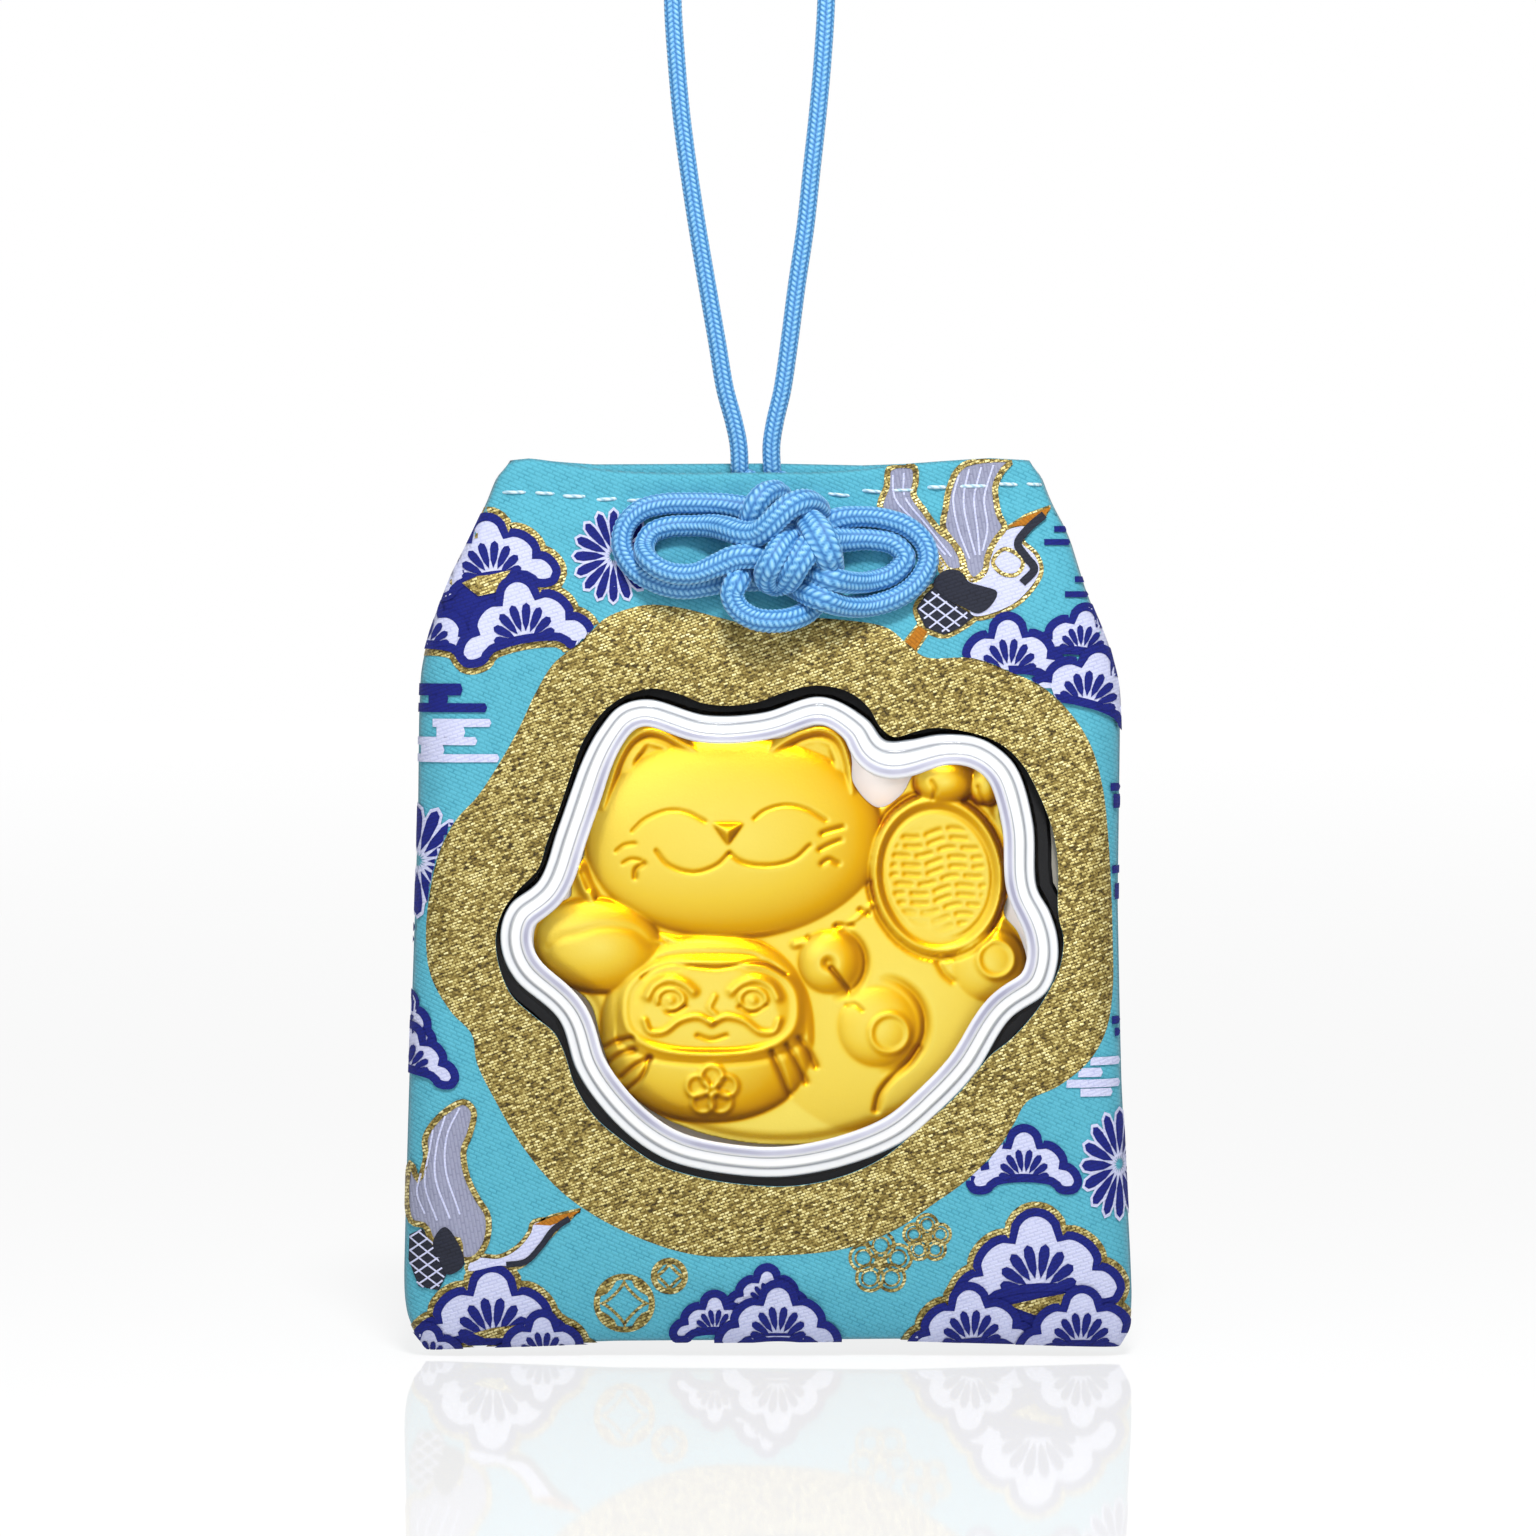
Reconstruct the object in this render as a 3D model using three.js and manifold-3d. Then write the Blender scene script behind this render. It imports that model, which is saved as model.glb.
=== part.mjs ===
// A brocade charm pouch with a stamped gold foil relief in a clear case, hung on a knotted cord.
// Millimetres, +Z up, the relief faces -Y. The origin is the inside of the hanging loop's crown.
import * as THREE from 'three';
import { mergeVertices } from 'three/addons/utils/BufferGeometryUtils.js';
import Module from 'manifold-3d';

const wasm = await Module();
wasm.setup();

// General
const SEAT_GAP = 0.3;
const OVERRUN = 5;

// Pouch: heights are measured down from the mouth
const POUCH_HEIGHT = 73.4;
const POUCH_HALF_WIDTH = 30.2;
const POUCH_HALF_DEPTH = 4;
const CLOTH = 0.6;
const MOUTH_HALF_DEPTH = 1.7;
const SHOULDER_DEPTH = 17;
const FOOT_CURVE = 10.4;
const SIDE_CURVE = 4;
const TOP_CORNER = 1.5;
const FOOT_CORNER = 2;
const RIM_HALF_DEPTH = CLOTH + SEAT_GAP / 2;

// Half-width of the pouch as [share of its height, share of its half-width]
const sideShares = [
  [0, 0.742], [0.04, 0.763], [0.086, 0.818], [0.136, 0.868], [0.2, 0.929], [0.238, 0.95],
  [0.386, 0.957], [0.5, 0.962], [0.71, 0.974], [0.93, 1], [1, 0.995],
];

// Case: the room that the pouch leaves round it, and its outline as shares of its width and
// height, about its centre
const CASE_SIDE_ROOM = 7.45;
const CASE_TOP_ROOM = 19.2;
const CASE_FOOT_ROOM = 14.9;
const CASE_CENTRE_X = 0.85;
const CASE_WALL = 1;
const CASE_STEP = 0.8;
const CASE_STEP_RISE = 0.5;
const CASE_BASE = 0.6;
const CASE_PROUD = 1.2;
const CASE_FRONT_PLATE = 0.8;
const caseShares = [
  [-0.236, 0.495], [-0.133, 0.462], [-0.03, 0.467], [0.076, 0.5], [0.157, 0.454], [0.19, 0.41],
  [0.234, 0.411], [0.289, 0.422], [0.353, 0.416], [0.395, 0.391], [0.427, 0.35], [0.456, 0.238],
  [0.463, 0.103], [0.485, 0.055], [0.5, 0], [0.5, -0.057], [0.48, -0.116], [0.414, -0.172],
  [0.353, -0.284], [0.289, -0.363], [0.221, -0.429], [0.124, -0.475], [0.012, -0.5],
  [-0.091, -0.495], [-0.197, -0.467], [-0.265, -0.419], [-0.326, -0.347], [-0.366, -0.276],
  [-0.397, -0.172], [-0.474, -0.09], [-0.498, -0.034], [-0.5, 0.022], [-0.482, 0.07],
  [-0.432, 0.118], [-0.397, 0.23], [-0.348, 0.383], [-0.32, 0.439], [-0.287, 0.48],
];

// Relief: its outline in the same shares, its plate and the free height over its forms
const RELIEF_PLATE = 0.6;
const RELIEF_HEADROOM = 0.5;
const CARD = 0.6;
const reliefShares = [
  [-0.237, 0.437], [-0.164, 0.403], [-0.085, 0.404], [-0.001, 0.405], [0.075, 0.433],
  [0.109, 0.423], [0.13, 0.375], [0.138, 0.32], [0.179, 0.285], [0.22, 0.3], [0.252, 0.343],
  [0.317, 0.365], [0.366, 0.355], [0.401, 0.327], [0.404, 0.255], [0.411, 0.094], [0.421, 0.014],
  [0.442, -0.058], [0.428, -0.107], [0.394, -0.147], [0.338, -0.267], [0.276, -0.331],
  [0.179, -0.391], [0.068, -0.428], [-0.057, -0.428], [-0.168, -0.395], [-0.244, -0.347],
  [-0.313, -0.227], [-0.334, -0.147], [-0.403, -0.082], [-0.435, -0.034], [-0.435, 0.014],
  [-0.41, 0.054], [-0.369, 0.08], [-0.35, 0.13], [-0.327, 0.238], [-0.299, 0.367], [-0.265, 0.423],
];
// Raised forms of the relief: [centre x, centre z, half width, half height, rise, turn in degrees]
// as shares of the case's width, its height, and the relief's rise
const domeShares = {
  head: [-0.08, 0.202, 0.266, 0.204, 0.95, 0],
  left_ear: [-0.245, 0.36, 0.05, 0.09, 0.7, 25],
  right_ear: [0.09, 0.36, 0.05, 0.085, 0.7, -25],
  nose: [-0.091, 0.215, 0.028, 0.023, 1, 0],
  bell: [0.091, -0.057, 0.059, 0.069, 0.8, 0],
  paw: [0.318, 0.319, 0.077, 0.046, 0.95, 0],
  pad: [0.39, -0.047, 0.04, 0.045, 0.6, 0],
  arm: [-0.335, -0.029, 0.103, 0.084, 0.75, 0],
  doll: [-0.126, -0.195, 0.198, 0.196, 0.9, 0],
  foot: [0.175, -0.187, 0.077, 0.089, 0.7, 0],
};
const kobanShares = { x: 0.287, z: 0.126, wide: 0.121, high: 0.168, rise: 0.6, rim: 0.012, sunk: 0.15 };
const KOBAN_TURN_DEGREES = -8;

// Holder, cards and window
const WINDOW_MARGIN = 0.9;
const COLLAR = 0.8;
const CARD_MARGIN = 1.4;
const WINDOW_CARD = 0.6;
const HOLDER_FLOOR = 1;
const BACK_BOARD = 0.8;
const LINING_DROP = 7;
const LINING_FOOT = 4.5;
const LINING_INSET = 1.5;

// Sewing thread
const THREAD = 0.4;
const STITCH_PITCH = 2.75;
const HEM_DROP = 2.9;
const SEAM_INSET = 0.8;
const HEM_REACH = 21;
const HEM_KNOT_LEFT = 13.8;
const HEM_KNOT_RIGHT = 3.2;
const STITCH_DIP = 0.6;

// Cord
const CORD_DIAMETER = 1.5;
const KNOT_DIAMETER = 1.15;
const LOOP_CROWN = 50;
const LOOP_CROWN_X = -1.6;

// Smoothness
const OUTLINE_STEPS = 80;
const CORD_SIDES = 8;
const RINGS_PER_POINT = 2;
const STRAND_POINT_COUNT = 7;
const THREAD_SIDES = 5;
const KNOT_STEPS = 170;
const LOOP_STEPS = 44;
const STITCH_STEPS = 8;
const BEND_RATIO = 3;
const SEAM_STEPS = 40;
const DOME_SIDES = 16;

const CASE_WIDTH = 2 * (POUCH_HALF_WIDTH - CASE_SIDE_ROOM);
const CASE_HEIGHT = POUCH_HEIGHT - CASE_TOP_ROOM - CASE_FOOT_ROOM;
const CASE_CENTRE_DROP = CASE_TOP_ROOM + CASE_HEIGHT / 2;
const LINING_FRONT = POUCH_HALF_DEPTH - CLOTH - SEAT_GAP;
const HOLDER_FRONT = LINING_FRONT - WINDOW_CARD - SEAT_GAP;
const HOLDER_BACK = LINING_FRONT - BACK_BOARD - SEAT_GAP;
const CASE_FRONT = POUCH_HALF_DEPTH + CASE_PROUD;
const CASE_BACK = HOLDER_BACK - HOLDER_FLOOR - SEAT_GAP;
const COVER_BACK = CASE_BACK - CASE_BASE - SEAT_GAP;
const CARD_BACK = COVER_BACK;
const RELIEF_BACK = CARD_BACK - CARD - SEAT_GAP;
const RELIEF_FACE = RELIEF_BACK - RELIEF_PLATE;
const RELIEF_RISE = CASE_FRONT - CASE_FRONT_PLATE - RELIEF_HEADROOM + RELIEF_FACE;
const LOOP_INSIDE = LOOP_CROWN - CORD_DIAMETER / 2;

// Knot route in [x, y, z], from the right strand in the mouth, through the hem and the left and
// right double ears, to the small lower loop and back up to the left strand
const knotRoute = [
  [0.2, 0, 0.35], [0.3, 0.1, -0.3], [0.6, 0, -1.1], [1.2, -0.5, -1.7], [2.1, -1.6, -2],
  [2.8, -3.5, -2.2],
  [2.4, -5.8, -2.9], [1.6, -6.8, -4.2], [0.5, -7.2, -5.4], [-0.6, -7, -6.3], [-1.7, -5.5, -6.4],
  [-3, -3.6, -5.7], [-4.4, -3.2, -5.4], [-6.3, -3.2, -5.3], [-8, -3.2, -5.4], [-9.3, -3.3, -6],
  [-9.8, -3.9, -7.1], [-9.3, -5.5, -8.2], [-8, -5.8, -9.1], [-6.1, -5.8, -9.3], [-4.2, -5.6, -8.9],
  [-2, -5.5, -8.4], [0.5, -5.3, -8.6], [2.3, -5.1, -8.6], [3.7, -5.8, -9], [5, -6.8, -9.6],
  [6.5, -5.8, -9.9], [8.3, -4.2, -9.8], [10.1, -3.9, -9.2], [11.1, -3.7, -7.9], [10.2, -3.5, -6.8],
  [8.3, -3.4, -6.4], [6.7, -3.6, -6.4], [5.2, -4.3, -6.5], [3.8, -5.4, -6.9], [2.8, -7, -7.8],
  [2, -7.7, -9.1], [1.4, -7.2, -10.4], [1, -6, -11.5], [0.2, -5.2, -12], [-0.8, -5.8, -11.5],
  [-1.1, -7.1, -10.3], [-0.4, -7.7, -9], [0.5, -7.3, -7.7], [1.5, -5.7, -6.5], [2.9, -3.9, -6],
  [4.2, -3.1, -5.4], [5.7, -3.1, -4.7], [7.5, -3, -4.5], [9.5, -3.1, -4.7], [11.4, -3.2, -5.4],
  [12.7, -3.4, -6.7], [13, -3.7, -8.2], [12, -4.1, -10], [10.3, -4.3, -11.2], [8.2, -4.4, -11.8],
  [6.1, -5.6, -11.8], [4.4, -6.7, -11.4], [3.1, -5.8, -10.8], [1.8, -4.3, -10.1], [0.2, -4, -9.8],
  [-1.6, -3.9, -9.7], [-3.4, -3.9, -9.7], [-5.3, -4.1, -10.2], [-7.2, -4.2, -10.4], [-9.2, -4.1, -9.9],
  [-11, -3.8, -8.8], [-12, -3.5, -7], [-11.7, -3.2, -5.2], [-10.5, -3, -4], [-8.8, -2.9, -3.5],
  [-6.5, -2.9, -3.4], [-4, -2.9, -3.5], [-1.6, -2.9, -3.9], [0.5, -3, -4], [2, -3.5, -4],
  [3.1, -4.9, -4.5], [4.1, -7, -5.7], [4.8, -7.7, -6.8], [5.5, -6.6, -7.8], [5.4, -4.4, -8.6],
  [4.6, -3.8, -9.9], [3.5, -4.1, -11.4], [2.6, -5.2, -12.8], [0.9, -6.5, -13.5], [-0.9, -6.5, -13.6],
  [-2.5, -6.2, -12.7], [-3.2, -6.2, -11.3], [-3, -7.1, -10.1], [-2.9, -7.7, -9], [-3.5, -7.6, -8.1],
  [-3.8, -7.1, -7.1], [-3.3, -6.8, -6], [-2.6, -6.6, -4.9], [-1.8, -6.2, -3.6], [-1.2, -4.6, -2.6],
  [-1.1, -2.5, -2], [-1.6, -0.9, -1.6], [-2.2, 0, -1], [-2.5, 0.1, -0.3], [-2.5, 0, 0.35],
];
// Loop route in [x, z] above the mouth, up the left strand and down the right one
const loopRoute = [
  [-2.5, 1.4], [-2.9, 3.4], [-3.6, 6], [-4.3, 10.1], [-5.1, 14.7], [-5.9, 19.4], [-6.6, 24],
  [-7.2, 28.6], [-7.6, 33], [-7.9, 38], [-7.8, 42], [-6.9, 46], [-4.7, 49], [-1.6, 50],
  [1.5, 49], [3.7, 46], [4.7, 42], [4.7, 38], [4.4, 33], [4, 28.6], [3.5, 24], [3, 19.4],
  [2.3, 14.7], [1.7, 10.1], [1.1, 6], [0.5, 3.4], [0.2, 1.4],
];

const brocade = { color: 0x5fbbcb, roughness: 0.75 };
const foam = { color: 0x15151a, roughness: 0.9 };
const clear = { color: 0xeef2f6, roughness: 0.12, transparent: true, opacity: 0.35 };
const whiteCard = { color: 0xf4f4f2, roughness: 0.6 };
const greyCard = { color: 0x9a968c, roughness: 0.85 };
const goldFoil = { color: 0xf6d13e, roughness: 0.25, metalness: 1 };
const whiteThread = { color: 0xdde9f2, roughness: 0.7 };
const braid = { color: 0x8dc3ee, roughness: 0.8 };

const assembly = new THREE.Group();
assembly.position.set(-LOOP_CROWN_X, 0, -LOOP_INSIDE);

function addPart(name, geometry, material) {
  geometry.computeVertexNormals();
  const finish = new THREE.MeshStandardMaterial({ flatShading: true, ...material });
  const mesh = new THREE.Mesh(geometry, finish);
  mesh.name = name;
  assembly.add(mesh);
}

// Solids

function toSolid(geometry) {
  const bare = geometry.clone();
  bare.deleteAttribute('normal');
  bare.deleteAttribute('uv');
  const merged = mergeVertices(bare);
  return new wasm.Manifold(new wasm.Mesh({
    numProp: 3,
    vertProperties: new Float32Array(merged.attributes.position.array),
    triVerts: new Uint32Array(merged.index.array),
  }));
}

function toGeometry(solid) {
  const mesh = solid.getMesh();
  const geometry = new THREE.BufferGeometry();
  geometry.setAttribute('position', new THREE.BufferAttribute(mesh.vertProperties, mesh.numProp));
  geometry.setIndex(new THREE.BufferAttribute(mesh.triVerts, 1));
  return geometry;
}

// The main body of a cut solid, without the crumbs that a cut can leave
function mainBody(solid) {
  return solid.decompose().reduce((most, body) => (body.volume() > most.volume() ? body : most));
}

// A closed shell between a front grid and a back grid of points, rows running down the pouch
function shellBetween(front, back) {
  const rows = front.length;
  const columns = front[0].length;
  const positions = [...front.flat(), ...back.flat()].flatMap((point) => point.toArray());
  const faces = [];
  const at = (row, column, layer) => layer * rows * columns + row * columns + column;
  const quad = (a, b, c, d) => faces.push(a, b, c, a, c, d);
  for (let row = 0; row < rows - 1; row += 1) {
    for (let column = 0; column < columns - 1; column += 1) {
      const [down, right] = [row + 1, column + 1];
      quad(at(row, column, 0), at(down, column, 0), at(down, right, 0), at(row, right, 0));
      quad(at(row, column, 1), at(row, right, 1), at(down, right, 1), at(down, column, 1));
    }
  }
  const last = columns - 1;
  const foot = rows - 1;
  for (let row = 0; row < foot; row += 1) {
    quad(at(row, 0, 0), at(row, 0, 1), at(row + 1, 0, 1), at(row + 1, 0, 0));
    quad(at(row, last, 0), at(row + 1, last, 0), at(row + 1, last, 1), at(row, last, 1));
  }
  for (let column = 0; column < last; column += 1) {
    quad(at(0, column, 0), at(0, column + 1, 0), at(0, column + 1, 1), at(0, column, 1));
    quad(at(foot, column, 0), at(foot, column, 1), at(foot, column + 1, 1), at(foot, column + 1, 0));
  }
  const geometry = new THREE.BufferGeometry();
  geometry.setAttribute('position', new THREE.BufferAttribute(new Float32Array(positions), 3));
  geometry.setIndex(faces);
  return geometry;
}

function slab(shape, front, back) {
  const geometry = new THREE.ExtrudeGeometry(shape, { depth: back - front, bevelEnabled: false });
  return toSolid(geometry.rotateX(Math.PI / 2).translate(0, back, 0));
}

function tube(curve, diameter, sides, steps) {
  const section = new THREE.Shape();
  for (let side = 0; side < sides; side += 1) {
    const angle = (2 * Math.PI * side) / sides;
    const place = [Math.cos(angle) * diameter / 2, Math.sin(angle) * diameter / 2];
    if (side === 0) section.moveTo(...place);
    else section.lineTo(...place);
  }
  return new THREE.ExtrudeGeometry(section, { steps, extrudePath: curve, bevelEnabled: false });
}

// Pouch form

function readShares(table, share) {
  const next = Math.max(1, table.findIndex((entry) => entry[0] >= share));
  const [from, low] = table[next - 1];
  const [to, high] = table[next];
  return THREE.MathUtils.mapLinear(Math.min(share, to), from, to, low, high);
}

function cornerLoss(radius, into) {
  return into > 0 ? radius - Math.sqrt(Math.max(0, radius * radius - into * into)) : 0;
}

function halfWidthAt(drop) {
  const side = POUCH_HALF_WIDTH * readShares(sideShares, drop / POUCH_HEIGHT);
  const foot = cornerLoss(FOOT_CORNER, drop - POUCH_HEIGHT + FOOT_CORNER);
  return side - cornerLoss(TOP_CORNER, TOP_CORNER - drop) - foot;
}

function quarterRound(into, length) {
  return into > 0 ? Math.sqrt(Math.max(0, 1 - (into / length) ** 2)) : 1;
}

// Half-depth of the pouch's outer face at a place given by its distance from the side and its drop
function halfDepthAt(fromSide, drop) {
  const swell = POUCH_HALF_DEPTH - RIM_HALF_DEPTH;
  const mouthShare = (MOUTH_HALF_DEPTH - RIM_HALF_DEPTH) / swell;
  const shoulder = THREE.MathUtils.smoothstep(drop, 0, SHOULDER_DEPTH);
  const foot = quarterRound(drop - POUCH_HEIGHT + FOOT_CURVE, FOOT_CURVE);
  const side = quarterRound(SIDE_CURVE - fromSide, SIDE_CURVE);
  return RIM_HALF_DEPTH + swell * side * foot * THREE.MathUtils.lerp(mouthShare, 1, shoulder);
}

const columnShares = [0, 0.33, 0.67, 1];
const curveShares = [0.8, 0.58, 0.36, 0.16, 0];
const shoulderShares = [0, 0.1, 0.2, 0.35, 0.5, 0.65, 0.8, 1];
const middleShares = [0.33, 0.66, 1];
const footShares = [0.3, 0.55, 0.75, 0.88, 0.96, 1];

// Drops from the mouth to the foot, closer together where the form bends
function rowDrops(top, foot) {
  const footStart = POUCH_HEIGHT - FOOT_CURVE;
  const drops = [
    ...shoulderShares.map((share) => share * SHOULDER_DEPTH),
    ...middleShares.map((share) => THREE.MathUtils.lerp(SHOULDER_DEPTH, footStart, share)),
    ...footShares.map((share) => footStart + share * FOOT_CURVE),
  ];
  return [top, ...drops.filter((drop) => drop > top && drop < foot), foot];
}

// Distances from the middle to the right, closer together over the side's curve
function columnPlaces(halfWidth) {
  const flat = halfWidth - SIDE_CURVE;
  const right = [
    ...columnShares.map((share) => share * flat),
    ...curveShares.map((share) => halfWidth - share * SIDE_CURVE),
  ];
  return [...right.slice(1).reverse().map((place) => -place), ...right];
}

function pouchGrid(drops, inset, depthOf) {
  return drops.map((drop) => {
    const full = halfWidthAt(drop);
    const places = columnPlaces(full);
    const reach = (full - inset) / full;
    return places.map((place) => {
      const x = place * reach;
      return new THREE.Vector3(x, depthOf(full - Math.abs(x), drop), -drop);
    });
  });
}

function clothPanel(side) {
  const drops = rowDrops(0, POUCH_HEIGHT);
  const outer = pouchGrid(drops, 0, (fromSide, drop) => side * halfDepthAt(fromSide, drop));
  const inner = pouchGrid(drops, 0, (fromSide, drop) => side * (halfDepthAt(fromSide, drop) - CLOTH));
  return toSolid(side < 0 ? shellBetween(outer, inner) : shellBetween(inner, outer));
}

// The space that the lining pieces may fill inside the cloth
function insideOfPouch() {
  const drops = rowDrops(LINING_DROP, POUCH_HEIGHT - LINING_FOOT);
  const depth = (fromSide, drop) => halfDepthAt(fromSide, drop) - CLOTH - SEAT_GAP;
  const front = pouchGrid(drops, LINING_INSET, (fromSide, drop) => -depth(fromSide, drop));
  const back = pouchGrid(drops, LINING_INSET, depth);
  return toSolid(shellBetween(front, back));
}

// Outlines

function outline(shares, grow) {
  const points = shares.map(([x, z]) => new THREE.Vector3(
    CASE_CENTRE_X + x * CASE_WIDTH, z * CASE_HEIGHT - CASE_CENTRE_DROP, 0));
  const curve = new THREE.CatmullRomCurve3(points, true, 'centripetal');
  const shape = new THREE.Shape();
  for (let step = 0; step < OUTLINE_STEPS; step += 1) {
    const share = step / OUTLINE_STEPS;
    const place = curve.getPointAt(share);
    const along = curve.getTangentAt(share);
    const spot = [place.x - along.y * grow, place.y + along.x * grow];
    if (step === 0) shape.moveTo(...spot);
    else shape.lineTo(...spot);
  }
  return shape;
}

const caseOutline = (grow) => outline(caseShares, grow);

function wholeSlab(front, back) {
  const shape = new THREE.Shape();
  const reach = POUCH_HALF_WIDTH + OVERRUN;
  shape.moveTo(-reach, OVERRUN).lineTo(-reach, -POUCH_HEIGHT - OVERRUN);
  shape.lineTo(reach, -POUCH_HEIGHT - OVERRUN).lineTo(reach, OVERRUN);
  return slab(shape, front, back);
}

// Cord and thread curves

function routeCurve(points) {
  const places = points.map((point) => new THREE.Vector3(...point));
  return new THREE.CatmullRomCurve3(places, false, 'centripetal');
}

const knotCurve = routeCurve(knotRoute);
const loopCurve = routeCurve(loopRoute.map(([x, z]) => [x, 0, z]));

// A running stitch: long outside the cloth, with a short dip through it at the end of each pitch
class HemThread extends THREE.Curve {
  constructor(side, from, to) {
    super();
    Object.assign(this, { side, from, to });
  }

  getPoint(share) {
    const x = THREE.MathUtils.lerp(this.from, this.to, share);
    const fromDip = Math.abs((Math.abs(x - this.from) % STITCH_PITCH) - STITCH_PITCH + STITCH_DIP / 2);
    const inward = 1 - THREE.MathUtils.smoothstep(fromDip, 0, STITCH_DIP / 2);
    const cloth = halfDepthAt(halfWidthAt(HEM_DROP) - Math.abs(x), HEM_DROP);
    const outside = cloth + SEAT_GAP + THREAD / 2;
    const inside = cloth - CLOTH - SEAT_GAP - THREAD / 2;
    return new THREE.Vector3(x, this.side * THREE.MathUtils.lerp(outside, inside, inward), -HEM_DROP);
  }
}

// The seam runs down one side, across the foot and up the other side
function seamCurve() {
  const top = HEM_DROP + STITCH_PITCH;
  const foot = POUCH_HEIGHT - SEAM_INSET;
  const sideStopShares = [0, 0.12, 0.24, 0.5, 0.75, 0.93, 0.98];
  const downRight = sideStopShares.map((share) => {
    const drop = THREE.MathUtils.lerp(top, foot, share);
    return [halfWidthAt(drop) - SEAM_INSET, 0, -drop];
  });
  const corner = [halfWidthAt(foot) - SEAM_INSET - FOOT_CORNER, 0, -foot];
  const across = [corner, [0, 0, -foot], [-corner[0], 0, -foot]];
  const upLeft = downRight.map(([x, y, z]) => [-x, y, z]).reverse();
  return routeCurve([...downRight, ...across, ...upLeft]);
}

// Pieces

function hemThread(side, from, to) {
  const stitches = Math.round(Math.abs(to - from) / STITCH_PITCH);
  const curve = new HemThread(side, from, from + Math.sign(to - from) * stitches * STITCH_PITCH);
  return tube(curve, THREAD, THREAD_SIDES, stitches * STITCH_STEPS);
}

// The cloth with a hole for each dip of its hem thread
function pierced(cloth, from, to) {
  const halfHigh = THREAD / 2 + SEAT_GAP;
  const halfWide = STITCH_DIP / 2 + halfHigh;
  const along = Math.sign(to - from);
  const stitches = Math.round(Math.abs(to - from) / STITCH_PITCH);
  let result = cloth;
  for (let stitch = 1; stitch <= stitches; stitch += 1) {
    const x = from + along * (stitch * STITCH_PITCH - STITCH_DIP / 2);
    const hole = new THREE.BoxGeometry(2 * halfWide, 2 * POUCH_HALF_DEPTH + OVERRUN, 2 * halfHigh);
    result = result.subtract(toSolid(hole.translate(x, 0, -HEM_DROP)));
  }
  return result;
}

// The stretch of the knot's route between two of its points, widened to clear the cord
function cordWay(from, to) {
  const part = routeCurve(knotRoute.slice(from, to));
  return toSolid(tube(part, KNOT_DIAMETER + 2 * SEAT_GAP, CORD_SIDES, (to - from) * RINGS_PER_POINT));
}

function buildCover() {
  const shoulder = LINING_FRONT + CLOTH + CASE_STEP_RISE;
  const outer = slab(caseOutline(0), -shoulder, COVER_BACK);
  const middle = slab(caseOutline(-CASE_STEP), -shoulder - CASE_STEP_RISE, COVER_BACK);
  const inner = slab(caseOutline(-2 * CASE_STEP), -CASE_FRONT, COVER_BACK);
  const wide = slab(caseOutline(-CASE_WALL), -shoulder + CASE_FRONT_PLATE, COVER_BACK + OVERRUN);
  const deepWall = CASE_WALL + CASE_STEP;
  const deep = slab(caseOutline(-deepWall), -CASE_FRONT + CASE_FRONT_PLATE, COVER_BACK + OVERRUN);
  return outer.add(middle).add(inner).subtract(wide).subtract(deep);
}

function ellipse(x, z, halfWidth, halfHeight, turn) {
  const shape = new THREE.Shape();
  shape.absellipse(x, z, halfWidth, halfHeight, 0, 2 * Math.PI, false, turn);
  return shape;
}

function dome([x, z, wide, high, rise, turn]) {
  const ball = new THREE.SphereGeometry(1, DOME_SIDES, DOME_SIDES / 2);
  ball.scale(wide * CASE_WIDTH, rise * RELIEF_RISE, high * CASE_HEIGHT);
  ball.rotateY(THREE.MathUtils.degToRad(turn));
  ball.translate(CASE_CENTRE_X + x * CASE_WIDTH, RELIEF_FACE, z * CASE_HEIGHT - CASE_CENTRE_DROP);
  return toSolid(ball);
}

function kobanDisc() {
  const x = CASE_CENTRE_X + kobanShares.x * CASE_WIDTH;
  const z = kobanShares.z * CASE_HEIGHT - CASE_CENTRE_DROP;
  const turn = THREE.MathUtils.degToRad(KOBAN_TURN_DEGREES);
  const rim = kobanShares.rim * CASE_WIDTH;
  const wide = kobanShares.wide * CASE_WIDTH;
  const high = kobanShares.high * CASE_HEIGHT;
  const top = RELIEF_FACE - kobanShares.rise * RELIEF_RISE;
  const disc = slab(ellipse(x, z, wide, high, turn), top, RELIEF_FACE);
  const floor = top + kobanShares.sunk * RELIEF_RISE;
  const hollow = slab(ellipse(x, z, wide - rim, high - rim, turn), top - OVERRUN, floor);
  return disc.subtract(hollow);
}

function buildRelief() {
  const edge = outline(reliefShares, 0);
  let relief = slab(edge, RELIEF_FACE, RELIEF_BACK).add(kobanDisc());
  for (const form of Object.values(domeShares)) relief = relief.add(dome(form));
  const room = slab(caseOutline(-CASE_WALL - CASE_STEP - SEAT_GAP), -CASE_FRONT, RELIEF_BACK);
  return relief.intersect(slab(edge, -CASE_FRONT, RELIEF_BACK)).intersect(room);
}

function buildHolder(inside) {
  const body = wholeSlab(-HOLDER_FRONT, HOLDER_BACK);
  const collar = slab(caseOutline(SEAT_GAP + COLLAR), -LINING_FRONT, 0);
  const pocket = slab(caseOutline(SEAT_GAP), -CASE_FRONT, HOLDER_BACK - HOLDER_FLOOR);
  return body.intersect(inside).add(collar.intersect(inside)).subtract(pocket);
}

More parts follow.
